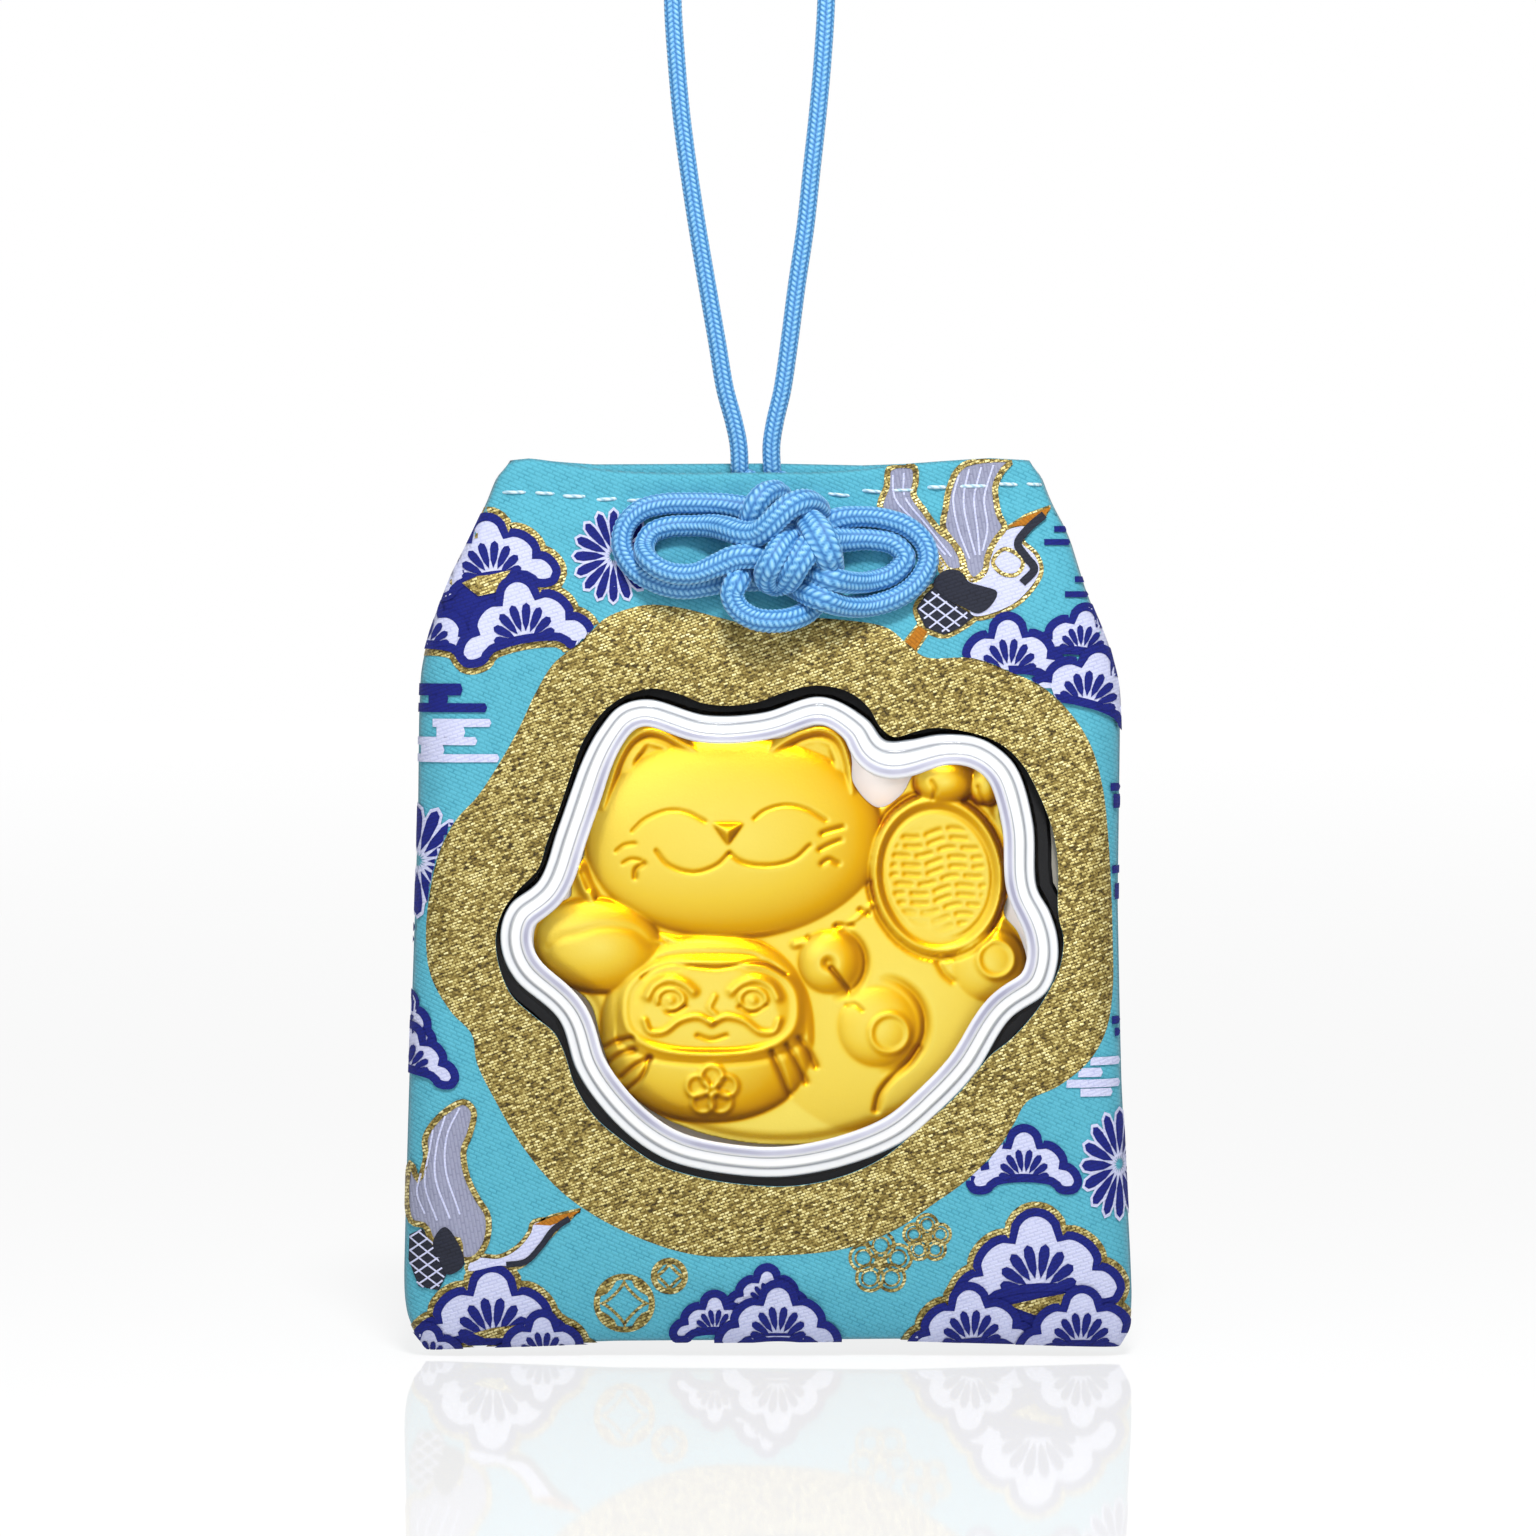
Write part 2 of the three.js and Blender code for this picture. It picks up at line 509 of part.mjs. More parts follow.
function buildAssembly() {
  const inside = insideOfPouch();
  const leftPierced = pierced(clothPanel(-1), -HEM_REACH, -HEM_KNOT_LEFT);
  const front = pierced(leftPierced, HEM_REACH, HEM_KNOT_RIGHT)
    .subtract(slab(caseOutline(WINDOW_MARGIN), -CASE_FRONT, 0))
    .subtract(cordWay(0, STRAND_POINT_COUNT))
    .subtract(cordWay(knotRoute.length - STRAND_POINT_COUNT, knotRoute.length));
  const back = pierced(clothPanel(1), -HEM_REACH, HEM_REACH);
  const windowCard = wholeSlab(-LINING_FRONT, -LINING_FRONT + WINDOW_CARD).intersect(inside)
    .subtract(slab(caseOutline(CARD_MARGIN), -CASE_FRONT, 0));
  const backBoard = wholeSlab(HOLDER_BACK + SEAT_GAP, LINING_FRONT).intersect(inside);
  const caseBase = slab(caseOutline(0), CASE_BACK - CASE_BASE, CASE_BACK);
  const backingCard = slab(caseOutline(-CASE_WALL - SEAT_GAP), CARD_BACK - CARD, CARD_BACK);

  addPart('front_panel', toGeometry(mainBody(front)), brocade);
  addPart('back_panel', toGeometry(back), brocade);
  addPart('window_card', toGeometry(windowCard), greyCard);
  addPart('back_board', toGeometry(backBoard), greyCard);
  addPart('case_holder', toGeometry(buildHolder(inside)), foam);
  addPart('case_base', toGeometry(caseBase), clear);
  addPart('clear_cover', toGeometry(buildCover()), clear);
  addPart('backing_card', toGeometry(backingCard), whiteCard);
  addPart('gold_relief', toGeometry(buildRelief()), goldFoil);
  addPart('hem_thread_left', hemThread(-1, -HEM_REACH, -HEM_KNOT_LEFT), whiteThread);
  addPart('hem_thread_right', hemThread(-1, HEM_REACH, HEM_KNOT_RIGHT), whiteThread);
  addPart('hem_thread_back', hemThread(1, -HEM_REACH, HEM_REACH), whiteThread);
  addPart('seam_thread', tube(seamCurve(), THREAD, THREAD_SIDES, SEAM_STEPS), whiteThread);
  addPart('cord_knot', tube(knotCurve, KNOT_DIAMETER, CORD_SIDES, KNOT_STEPS), braid);
  addPart('hanging_loop', toGeometry(buildLoop()), braid);
}

// The loop's strands end in rounds about the pivot, so that the pouch can swing under them
function buildLoop() {
  let loop = toSolid(tube(loopCurve, CORD_DIAMETER, CORD_SIDES, LOOP_STEPS));
  for (const share of [0, 1]) {
    const end = loopCurve.getPoint(share);
    const round = new THREE.SphereGeometry(CORD_DIAMETER / 2, CORD_SIDES, CORD_SIDES / 2);
    loop = loop.add(toSolid(round.translate(end.x, end.y, end.z)));
  }
  return loop;
}

// Least gap of the knot to itself, between stretches at least a bend apart
function leastKnotGap() {
  const count = 4 * KNOT_STEPS;
  const points = knotCurve.getSpacedPoints(count);
  const apart = Math.ceil((BEND_RATIO * KNOT_DIAMETER * count) / knotCurve.getLength());
  let least = Infinity;
  for (let one = 0; one <= count; one += 1) {
    for (let other = one + apart; other <= count; other += 1) {
      least = Math.min(least, points[one].distanceTo(points[other]));
    }
  }
  return least - KNOT_DIAMETER;
}

buildAssembly();
console.log(`knot length ${knotCurve.getLength().toFixed(1)} mm`);
console.log(`least gap of the knot to itself ${leastKnotGap().toFixed(2)} mm`);
console.log(`loop length ${loopCurve.getLength().toFixed(1)} mm`);

export default assembly;
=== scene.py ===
# A brocade charm pouch with a stamped gold foil cat in a clear case, hung on a knotted cord.
# Sizes are millimetres on the pouch: x to the right, y to the back, drop down from the mouth.
import math
import random

import bmesh
import bpy
import numpy as np
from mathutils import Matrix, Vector


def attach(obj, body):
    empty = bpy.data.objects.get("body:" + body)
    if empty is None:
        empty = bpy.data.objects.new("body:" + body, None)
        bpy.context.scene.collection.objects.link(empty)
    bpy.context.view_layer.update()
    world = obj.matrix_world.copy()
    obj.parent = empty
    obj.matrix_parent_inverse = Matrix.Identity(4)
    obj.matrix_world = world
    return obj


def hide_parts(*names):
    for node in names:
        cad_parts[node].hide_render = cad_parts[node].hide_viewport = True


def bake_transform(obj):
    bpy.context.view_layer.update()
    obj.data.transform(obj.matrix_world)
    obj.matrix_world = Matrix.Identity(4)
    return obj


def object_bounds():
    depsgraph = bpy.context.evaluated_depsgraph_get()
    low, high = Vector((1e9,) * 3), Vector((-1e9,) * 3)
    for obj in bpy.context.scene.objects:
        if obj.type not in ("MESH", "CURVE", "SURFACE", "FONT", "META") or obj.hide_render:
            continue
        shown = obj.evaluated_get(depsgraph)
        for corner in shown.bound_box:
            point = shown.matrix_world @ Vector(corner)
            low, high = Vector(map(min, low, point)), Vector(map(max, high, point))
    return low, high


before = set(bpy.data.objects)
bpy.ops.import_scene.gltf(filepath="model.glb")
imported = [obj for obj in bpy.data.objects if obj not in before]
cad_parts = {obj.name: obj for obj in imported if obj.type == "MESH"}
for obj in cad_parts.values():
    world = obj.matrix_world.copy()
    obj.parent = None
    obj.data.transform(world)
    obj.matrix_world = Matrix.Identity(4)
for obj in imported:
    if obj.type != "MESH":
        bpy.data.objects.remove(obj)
cad_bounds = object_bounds()
bpy.context.scene.view_settings.view_transform = "Standard"
random.seed(7)

MM = 0.001
# The middle of the mouth: in the frame, and in pixels of the photograph, each PIXEL wide
MOUTH = Vector((1.6, 0, -49.25))
MOUTH_PIXEL = (769, 463)
PIXEL = 0.0824

# Pouch
HEIGHT = 73.4
HALF_DEPTH = 4
CLOTH = 0.6
CLOTH_COLUMNS = 170
CLOTH_ROWS = 200
MOUTH_HALF_DEPTH = 1.7
MOUTH_SPAN = (-20.8, 21)
MOUTH_SAG = 0.85
MOUTH_ROLL = 0.2
RIM_HALF_DEPTH = 0.75
SHOULDER_DEPTH = 17
FOOT_SPAN = (-28.1, 29.3)
FOOT_CURVE = 10.4
SIDE_CURVE = 4
SEAM_FOLD = 0.7
SEAM_INSET = 0.8
HEM_DEPTH = 4.5
HEM_INSET = 0.4
HEM_DROP = 2.9
PUCKER_HEIGHT = 0.7
PUCKER_DEPTH = 0.09
STITCH_THICKNESS = 0.3
STITCH_PITCH = 2.75
# How far inside the cloth's edges and its mouth the woven figures end
EDGE_GAP = 0.02
TOP_GAP = 0.05

# Case and foil
CASE_WIDTH = 45.5
CASE_HEIGHT = 39.3
CASE_CENTRE = (0.85, 38.85)
CASE_WALL = 0.25
PLATE_FACE = 1.7
FOIL_BACK = 1.1

# Cords: thickness, then the plait's pitch, how many run round, how far each leans over its column in
# shares of the pitch, and the radius between plaits and what a plait adds to it, in shares of the cord's
KNOT_CORD = 1.8
LOOP_CORD = 1.55
PLAIT = 0.42
PLAIT_COLUMNS = 8
PLAIT_LEAN = 0.8
VALLEY_SHARE = 0.86
CROWN_SHARE = 0.15
STRAND_FOOT = -1.3

# Camera, with its distance in millimetres and its frame's middle in pixels of the photograph
CAMERA_DISTANCE = 422
CAMERA_LENS = 120
CAMERA_ELEVATION = 1.5
FRAME_CENTRE_PIXEL = (768, 768)

# Lamps: place and width in metres, and power in watts
LAMPS = [
    ("key_light", (0.02, -0.26, 0.22), 0.09, 1.3),
    ("front_light", (-0.16, -0.42, 0.08), 0.3, 0.22),
    ("fill_light", (0.3, -0.4, -0.02), 0.4, 0.18),
]
# Strength of the white all round as light; then the floor: its half width and its gap below the pouch in
# metres, how bright its white is, and the share of it that the camera sees instead of its gloss
AMBIENT = 0.3
FLOOR_HALF_WIDTH = 3
FLOOR_GAP = 0.0002
FLOOR_WHITE = 1.07
FLOOR_WHITE_SHARE = 0.57


def on_pouch(x, y, drop):
    """A place on the pouch, in metres in the frame"""
    return Vector((MOUTH.x + x, MOUTH.y + y, MOUTH.z - drop)) * MM


def from_photo(points):
    """Pixels of the photograph as x and drop in millimetres"""
    return (np.array(points, float) - MOUTH_PIXEL) * PIXEL


# Nodes and finishes


def add(tree, kind, inputs=None, stops=(), **settings):
    """Adds a shader node with its settings, its inputs as values or links, and a ramp's stops"""
    made = tree.nodes.new("ShaderNode" + kind)
    for name, value in settings.items():
        setattr(made, name, value)
    for name, value in (inputs or {}).items():
        if isinstance(value, bpy.types.NodeSocket):
            tree.links.new(value, made.inputs[name])
        else:
            made.inputs[name].default_value = value
    if stops:
        points = made.color_ramp.elements
        while len(points) < len(stops):
            points.new(0.5)
        for point, (place, colour) in zip(points, stops):
            point.position = place
            point.color = paint(colour)
    return made


def paint(colour):
    """An sRGB hex value as a linear colour"""
    parts = [int(colour[at : at + 2], 16) / 255 for at in (1, 3, 5)]
    return [p / 12.92 if p <= 0.04045 else ((p + 0.055) / 1.055) ** 2.4 for p in parts] + [1]


def finish(name, **surface):
    """A material with its Principled shader's own sockets set, its tree and its shader"""
    material = bpy.data.materials.new(name)
    material.use_nodes = True
    shader = material.node_tree.nodes["Principled BSDF"]
    for socket, value in surface.items():
        shader.inputs[socket.replace("_", " ")].default_value = value
    return material, material.node_tree, shader


def colour_by(tree, shader, shade, stops):
    """Colours a finish by a shade that runs through stops"""
    colour = add(tree, "ValToRGB", {"Fac": shade}, stops)
    tree.links.new(colour.outputs["Color"], shader.inputs["Base Color"])


def raise_by(tree, shader, pattern, depth):
    """Raises a finish by a pattern, with its depth in millimetres"""
    raised = add(tree, "Bump", {"Height": pattern, "Distance": depth * MM})
    tree.links.new(raised.outputs["Normal"], shader.inputs["Normal"])


def grey(share):
    """A level of a pattern or of light, as a socket for colours takes it"""
    return (share, share, share, 1)


def cloth_plane(tree, tilt):
    """The piece's own coordinates in millimetres, with the cloth's face laid on X and Y"""
    place = add(tree, "TexCoord").outputs["Object"]
    turn = {"Vector": place, "Rotation": (math.radians(-90), 0, 0), "Scale": (1 / MM,) * 3}
    flat = add(tree, "Mapping", turn, vector_type="POINT").outputs["Vector"]
    slant = {"Vector": flat, "Rotation": (0, 0, math.radians(tilt))}
    return add(tree, "Mapping", slant, vector_type="POINT").outputs["Vector"]


# Sizes of threads and grain in millimetres, or as counts to a millimetre. Real threads are finer, and
# they are drawn as coarse as they need to be to show.
WEFT_GAP = 0.13
WEFT_DEPTH = 0.05
FUZZ_PER_MM = 1.6
FILAMENTS_PER_MM = 3.9
YARN_GAP = 0.07
YARN_DEPTH = 0.06
PAINTED_GLINTS_PER_MM = 5.5
BRAID_FIBRES_PER_MM = 3.8
FIBRE_DEPTH = 0.05
TWISTS_PER_MM = 0.9
FOIL_GRAINS_PER_MM = 4.2
FOIL_GRAIN_DEPTH = 0.012
RIM_STREAKS_PER_MM = 0.16


def woven(name, light, dark, dash, row, tilt, sheen=0.15):
    """Silk and cotton brocade, matt with a little sheen: short floats of thread in staggered rows,
    bound down between them, each of a few filaments"""
    material, tree, shader = finish(
        name, Roughness=0.8, Specular_IOR_Level=0.3, Sheen_Weight=sheen, Sheen_Roughness=0.4)
    plane = cloth_plane(tree, tilt)
    weave = add(tree, "TexBrick", {
        "Vector": plane, "Scale": 1, "Mortar Size": WEFT_GAP, "Mortar Smooth": 1, "Bias": 0,
        "Brick Width": dash, "Row Height": row, "Color1": grey(1), "Color2": grey(0.72),
        "Mortar": grey(0.46),
    }, offset=0.5, offset_frequency=2)
    fuzz = add(tree, "TexNoise", {"Vector": plane, "Scale": FUZZ_PER_MM, "Detail": 4})
    mixed = add(tree, "Math", {0: fuzz.outputs["Fac"], 1: 0.5, 2: weave.outputs["Color"]},
                operation="MULTIPLY_ADD")
    filaments = add(tree, "TexWave", {
        "Vector": plane, "Scale": FILAMENTS_PER_MM, "Distortion": 1.5, "Detail": 1,
    }, bands_direction="Y")
    mixed = add(tree, "Math", {0: filaments.outputs["Fac"], 1: 0.2, 2: mixed.outputs[0]},
                operation="MULTIPLY_ADD")
    colour_by(tree, shader, mixed.outputs[0], [(0.5, dark), (1, light)])
    raise_by(tree, shader, mixed.outputs[0], WEFT_DEPTH)
    return material


def lame(name, bright, light, middle, dark, dash, row, tilt):
    """Gold lame: flat metal yarns in short slanted floats, with painted glints where noise brightens the
    floats one by one
    """
    material, tree, shader = finish(name, Roughness=0.45, Metallic=0.5)
    plane = cloth_plane(tree, tilt)
    floats = add(tree, "TexBrick", {
        "Vector": plane, "Scale": 1, "Mortar Size": YARN_GAP, "Mortar Smooth": 1, "Bias": 0,
        "Brick Width": dash, "Row Height": row, "Color1": grey(1), "Color2": grey(0),
        "Mortar": grey(0),
    }, offset=0.5, offset_frequency=2)
    stretched = add(tree, "Mapping", {"Vector": plane, "Scale": (0.6, 1, 1)}).outputs["Vector"]
    # Noise for painted glints on the floats
    painted_glint = add(tree, "TexNoise", {"Vector": stretched, "Scale": PAINTED_GLINTS_PER_MM, "Detail": 1})
    lit = add(tree, "Math", {0: floats.outputs["Color"], 1: 0.66, 2: -0.27}, operation="MULTIPLY_ADD")
    lit = add(tree, "Math", {0: painted_glint.outputs["Fac"], 1: 0.95, 2: lit.outputs[0]},
              operation="MULTIPLY_ADD")
    # Stops from the dark between the floats to painted glints on the brightest ones
    stops = [(0.08, dark), (0.36, middle), (0.66, light), (0.98, bright)]
    colour_by(tree, shader, lit.outputs[0], stops)
    raise_by(tree, shader, lit.outputs[0], YARN_DEPTH)
    return material


def braid_finish(name):
    """Polyester braided cord, with painted light: paler where each plait crowns as a painted highlight,
    darker between the plaits as painted shade
    """
    material, tree, shader = finish(name, Roughness=0.55, Sheen_Weight=0.3, Sheen_Roughness=0.35)
    crown = add(tree, "Attribute", attribute_name="crown").outputs["Fac"]
    place = add(tree, "TexCoord").outputs["Object"]
    fibre = add(tree, "TexNoise", {"Vector": place, "Scale": BRAID_FIBRES_PER_MM / MM, "Detail": 3})
    fibre_and_crown_light = add(tree, "Math", {0: fibre.outputs["Fac"], 1: 0.16, 2: crown}, operation="MULTIPLY_ADD")
    # Stops from painted shade between the plaits to painted highlight on their crowns, with fibre grain mixed
    # in
    stops = [(0.12, "#1F62A6"), (0.5, "#478CC8"), (0.8, "#6FB2E2"), (1, "#96CDF1")]
    colour_by(tree, shader, fibre_and_crown_light.outputs[0], stops)
    raise_by(tree, shader, fibre.outputs["Fac"], FIBRE_DEPTH)
    return material


def thread_finish(name, light, dark):
    """Twisted sewing thread, with a shallow shade between its turns"""
    material, tree, shader = finish(name, Roughness=0.5, Sheen_Weight=0.2)
    place = add(tree, "TexCoord").outputs["Object"]
    twist = add(tree, "TexWave", {"Vector": place, "Scale": TWISTS_PER_MM / MM, "Distortion": 0.4},
                bands_direction="DIAGONAL")
    colour_by(tree, shader, twist.outputs["Fac"], [(0, dark), (0.6, light)])
    raise_by(tree, shader, twist.outputs["Fac"], FIBRE_DEPTH)
    return material


def foil_finish(name):
    """Stamped pure gold foil: satin, with painted shade: deeper amber where the relief slopes, in its hollows
    and on flanks that face away from above left
    """
    material, tree, shader = finish(
        name, Metallic=0.6, Roughness=0.33, Specular_Tint=paint("#F4B01C"), Specular_IOR_Level=0.2)
    painted_foil_shade = add(tree, "Attribute", attribute_name="painted_foil_shade").outputs["Fac"]
    # Amber stops of painted shade, from level ground facing up to the most shaded slopes
    stops = [(0, "#FBE568"), (0.22, "#F4D040"), (0.45, "#E4AB08"), (0.72, "#C28300"), (1, "#8A5500")]
    colour_by(tree, shader, painted_foil_shade, stops)
    place = add(tree, "TexCoord").outputs["Object"]
    grain = add(tree, "TexNoise", {"Vector": place, "Scale": FOIL_GRAINS_PER_MM / MM, "Detail": 2})
    raise_by(tree, shader, grain.outputs["Fac"], FOIL_GRAIN_DEPTH)
    return material


def rim_finish(name):
    """Clear pressed plastic seen at its steps, with painted refraction: white bands and grey lines where each
    edge bends the white of the card, lilac near the foil, and a painted trace of the gold seen in its inner
    edge
    """
    material, tree, shader = finish(name, Roughness=0.12, Coat_Weight=0.6, Coat_Roughness=0.05)
    inwards = add(tree, "SeparateXYZ", {"Vector": add(tree, "UVMap", uv_map="UVMap").outputs["UV"]})
    place = add(tree, "TexCoord").outputs["Object"]
    streaks = add(tree, "TexNoise", {"Vector": place, "Scale": RIM_STREAKS_PER_MM / MM, "Detail": 2})
    swept = add(tree, "Math", {0: streaks.outputs["Fac"], 1: 0.1, 2: inwards.outputs["Y"]},
                operation="MULTIPLY_ADD")
    # Painted refraction and reflection across the rim, from its outer edge inwards, waved by noise
    stops = [
        (0.05, "#8E9299"), (0.12, "#F4F5F6"), (0.28, "#E3E5E9"), (0.335, "#8F939B"), (0.38, "#C9CCD2"),
        (0.45, "#FAFAFB"), (0.58, "#EEEFF2"), (0.66, "#C9CCD5"), (0.69, "#A0A4AE"), (0.73, "#F0F1F4"),
        (0.8, "#C6C7D8"), (0.835, "#9C9CB4"), (0.88, "#F0EFF6"), (0.96, "#B9B6B8"), (1, "#8F7A3C"),
    ]
    colour_by(tree, shader, swept.outputs[0], stops)
    return material


def clear_finish(name, strength):
    """Clear pressed plastic: its gloss, and a trace of grey haze"""
    return finish(name, Base_Color=paint("#5A5A5A"), Roughness=0.08, Alpha=strength)[0]


def plain_finish(name, colour, roughness, grain, depth):
    """Card or foam: matt, with the grain of its surface"""
    material, tree, shader = finish(name, Base_Color=paint(colour), Roughness=roughness)
    place = add(tree, "TexCoord").outputs["Object"]
    pores = add(tree, "TexNoise", {"Vector": place, "Scale": 1 / (grain * MM), "Detail": 3})
    raise_by(tree, shader, pores.outputs["Fac"], depth)
    return material


# Woven finishes: colours of threads on top and between, float length, row height and slant in degrees
BROCADE = woven("turquoise brocade ground", "#5AB4CA", "#1E7892", 0.66, 0.32, 24)
PALE = woven("pale silk weft", "#D2D6F3", "#A6ACDA", 0.7, 0.3, -18)
NAVY = woven("navy silk weft", "#101C7A", "#070C48", 0.7, 0.3, -18, sheen=0.03)
FEATHER = woven("grey feather weft", "#9A9DB6", "#6C6E89", 0.9, 0.3, 80)
CHARCOAL = woven("charcoal weft", "#252836", "#0B0C13", 0.7, 0.3, -18, sheen=0.03)
AMBER = woven("amber weft", "#B87418", "#7A4808", 0.6, 0.3, 40)
GOLD_LAME = lame("gold lame", "#F6EDB4", "#CDBE78", "#8A7636", "#33270A", 0.44, 0.23, -20)
GOLD_THREAD = lame("gold thread outline", "#F0E6B0", "#C9BA76", "#8A7738", "#3A2D0C", 0.5, 0.25, -20)
# Other finishes; foam and cards have their roughness, and their grain's width and depth
BRAID = braid_finish("light blue braid")
THREAD = thread_finish("white sewing thread", "#DCF0F8", "#9CC8DC")
FOIL = foil_finish("stamped gold foil")
RIM = rim_finish("clear case rim")
PANE = clear_finish("clear case pane", 0.03)
FOAM = plain_finish("black foam", "#101013", 0.85, 0.25, 0.03)
GREY_CARD = plain_finish("grey card", "#9A968C", 0.85, 0.4, 0.02)
WHITE_CARD = plain_finish("white coated card", "#F2F2F4", 0.45, 0.6, 0.004)


# Making pieces


def sheet(columns, rows, form, closed=False):
    """A grid shaped by form, which takes shares across and down and gives points in millimetres"""
    made = bmesh.new()
    made.loops.layers.uv.new("UVMap")
    bmesh.ops.create_grid(made, x_segments=columns, y_segments=rows, size=0.5, calc_uvs=True)
    flat = np.array([vertex.co for vertex in made.verts])
    for vertex, place in zip(made.verts, form(flat[:, 0] + 0.5, 0.5 - flat[:, 1])):
        vertex.co = place
    if closed:
        bmesh.ops.remove_doubles(made, verts=made.verts, dist=0.001)
    return made


def turn_out(made, side):
    """Turns the faces of a sheet to the front, side -1, or to the back, side 1"""
    made.normal_update()
    if side * sum(face.normal.y * face.calc_area() for face in made.faces) < 0:
        bmesh.ops.reverse_faces(made, faces=made.faces)


def settle(made, name, material, body="pouch", replaced=(), smooth=True):
    """Puts a shape of millimetres on the pouch, as a piece with its finish and body"""
    for vertex in made.verts:
        vertex.co = on_pouch(vertex.co.x, vertex.co.y, -vertex.co.z)
    for face in made.faces:
        face.smooth = smooth
    mesh = bpy.data.meshes.new(name)
    made.to_mesh(mesh)
    made.free()
    piece = bpy.data.objects.new(name, mesh)
    bpy.context.scene.collection.objects.link(piece)
    mesh.materials.append(material)
    if body:
        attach(piece, body)
    if replaced:
        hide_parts(*replaced)
    return piece


def thicken(piece, thickness):
    """Gives a sheet its thickness, inwards from its face"""
    wall = piece.modifiers.new("wall", "SOLIDIFY")
    wall.thickness = thickness * MM
    wall.offset = -1


def seal(made):
    """Merges a tube's seam and ends, and turns its faces outwards"""
    bmesh.ops.remove_doubles(made, verts=made.verts, dist=0.002)
    bmesh.ops.recalc_face_normals(made, faces=made.faces)


def smooth_curve(points, count, closed=False):
    """Evenly spaced points on a centripetal Catmull-Rom curve through the given ones"""
    points = np.array(points, float)
    if closed:
        points = np.vstack([points[-1], points, points[0], points[1]])
    else:
        points = np.vstack([2 * points[0] - points[1], points, 2 * points[-1] - points[-2]])
    shares = np.linspace(0, 1, 16, endpoint=False)[:, None]
    runs = []
    for p0, p1, p2, p3 in zip(points, points[1:], points[2:], points[3:]):
        gaps = [max(np.linalg.norm(b - a), 1e-6) ** 0.5 for a, b in ((p0, p1), (p1, p2), (p2, p3))]
        t0, t1 = 0.0, gaps[0]
        t2, t3 = t1 + gaps[1], t1 + gaps[1] + gaps[2]
        t = t1 + shares * gaps[1]
        a1 = (t1 - t) / (t1 - t0) * p0 + (t - t0) / (t1 - t0) * p1
        a2 = (t2 - t) / (t2 - t1) * p1 + (t - t1) / (t2 - t1) * p2
        a3 = (t3 - t) / (t3 - t2) * p2 + (t - t2) / (t3 - t2) * p3
        b1 = (t2 - t) / (t2 - t0) * a1 + (t - t0) / (t2 - t0) * a2
        b2 = (t3 - t) / (t3 - t1) * a2 + (t - t1) / (t3 - t1) * a3
        runs.append((t2 - t) / (t2 - t1) * b1 + (t - t1) / (t2 - t1) * b2)
    runs.append(points[-2:-1])
    return evenly(np.vstack(runs), count, closed)


def evenly(line, count, closed=False):
    """The same line with its points evenly spaced"""
    steps = np.linalg.norm(np.diff(line, axis=0), axis=1)
    along = np.concatenate([[0], np.cumsum(steps)])
    stops = np.linspace(0, along[-1], count, endpoint=not closed)
    return np.stack([np.interp(stops, along, part) for part in line.T], axis=1)


def evenly_round(line, count):
    """The same closed line with its points evenly spaced"""
    return evenly(np.vstack([line, line[:1]]), count, closed=True)


def nearest_on(line, x, drop):
    """The point of a line that lies nearest to a place"""
    return line[np.argmin(np.hypot(line[:, 0] - x, line[:, 1] - drop))]


def fill_outline(made, places):
    """Fills a closed outline with triangles"""
    corners = [made.verts.new(place) for place in places]
    sides = [made.edges.new(pair) for pair in zip(corners, corners[1:] + corners[:1])]
    bmesh.ops.triangle_fill(made, use_beauty=True, use_dissolve=False, edges=sides)


# Pouch form

LEFT_EDGE_PIXELS = [
    (518, 460), (508, 464), (501, 469), (496, 478), (490, 496), (468, 543), (450, 578), (428, 640),
    (421, 670), (419, 720), (418, 807), (415, 900), (408, 1100), (405, 1200), (403, 1280),
    (404, 1305), (409, 1326), (418, 1341), (430, 1350),
]
RIGHT_EDGE_PIXELS = [
    (1022, 460), (1032, 464), (1038, 469), (1042, 478), (1049, 499), (1068, 534), (1086, 592),
    (1107, 642), (1118, 685), (1120, 727), (1118, 900), (1120, 1000), (1122, 1080), (1127, 1180),
    (1131, 1250), (1133, 1300), (1131, 1325), (1126, 1339), (1116, 1347),
]
TOP_EDGE_PIXELS = [(516, 461), (535, 459), (570, 462), (600, 464), (769, 463), (860, 465), (920, 463),
                   (985, 459), (1025, 461)]
FOOT_EDGE_PIXELS = [(428, 1350), (620, 1343), (769, 1342), (900, 1341), (1125, 1347)]


def edge_reader(pixels):
    """Reads x at a drop from an edge of the pouch, with its corners eased"""
    x, drop = from_photo(pixels).T
    steps, width = 600, 9
    stops = np.linspace(drop[0], drop[-1], steps)
    eased = np.interp(stops, drop, x)
    padded = np.pad(eased, width, mode="edge")
    eased = np.convolve(padded, np.ones(2 * width + 1) / (2 * width + 1), mode="valid")
    return lambda at: np.interp(at, stops, eased)


left_edge = edge_reader(LEFT_EDGE_PIXELS)
right_edge = edge_reader(RIGHT_EDGE_PIXELS)
top_x, top_drop = from_photo(TOP_EDGE_PIXELS).T
foot_x, foot_drop = from_photo(FOOT_EDGE_PIXELS).T


def foot_edge(x):
    return np.interp(x, foot_x, foot_drop)


def sag(x):
    """How far the front's top edge hangs below the back's"""
    middle, half_width = -3.2, 11.5
    return MOUTH_SAG * np.exp(-(((x - middle) / half_width) ** 4))


def top_edge(x, side):
    return np.interp(x, top_x, top_drop) + (sag(x) if side < 0 else 0)


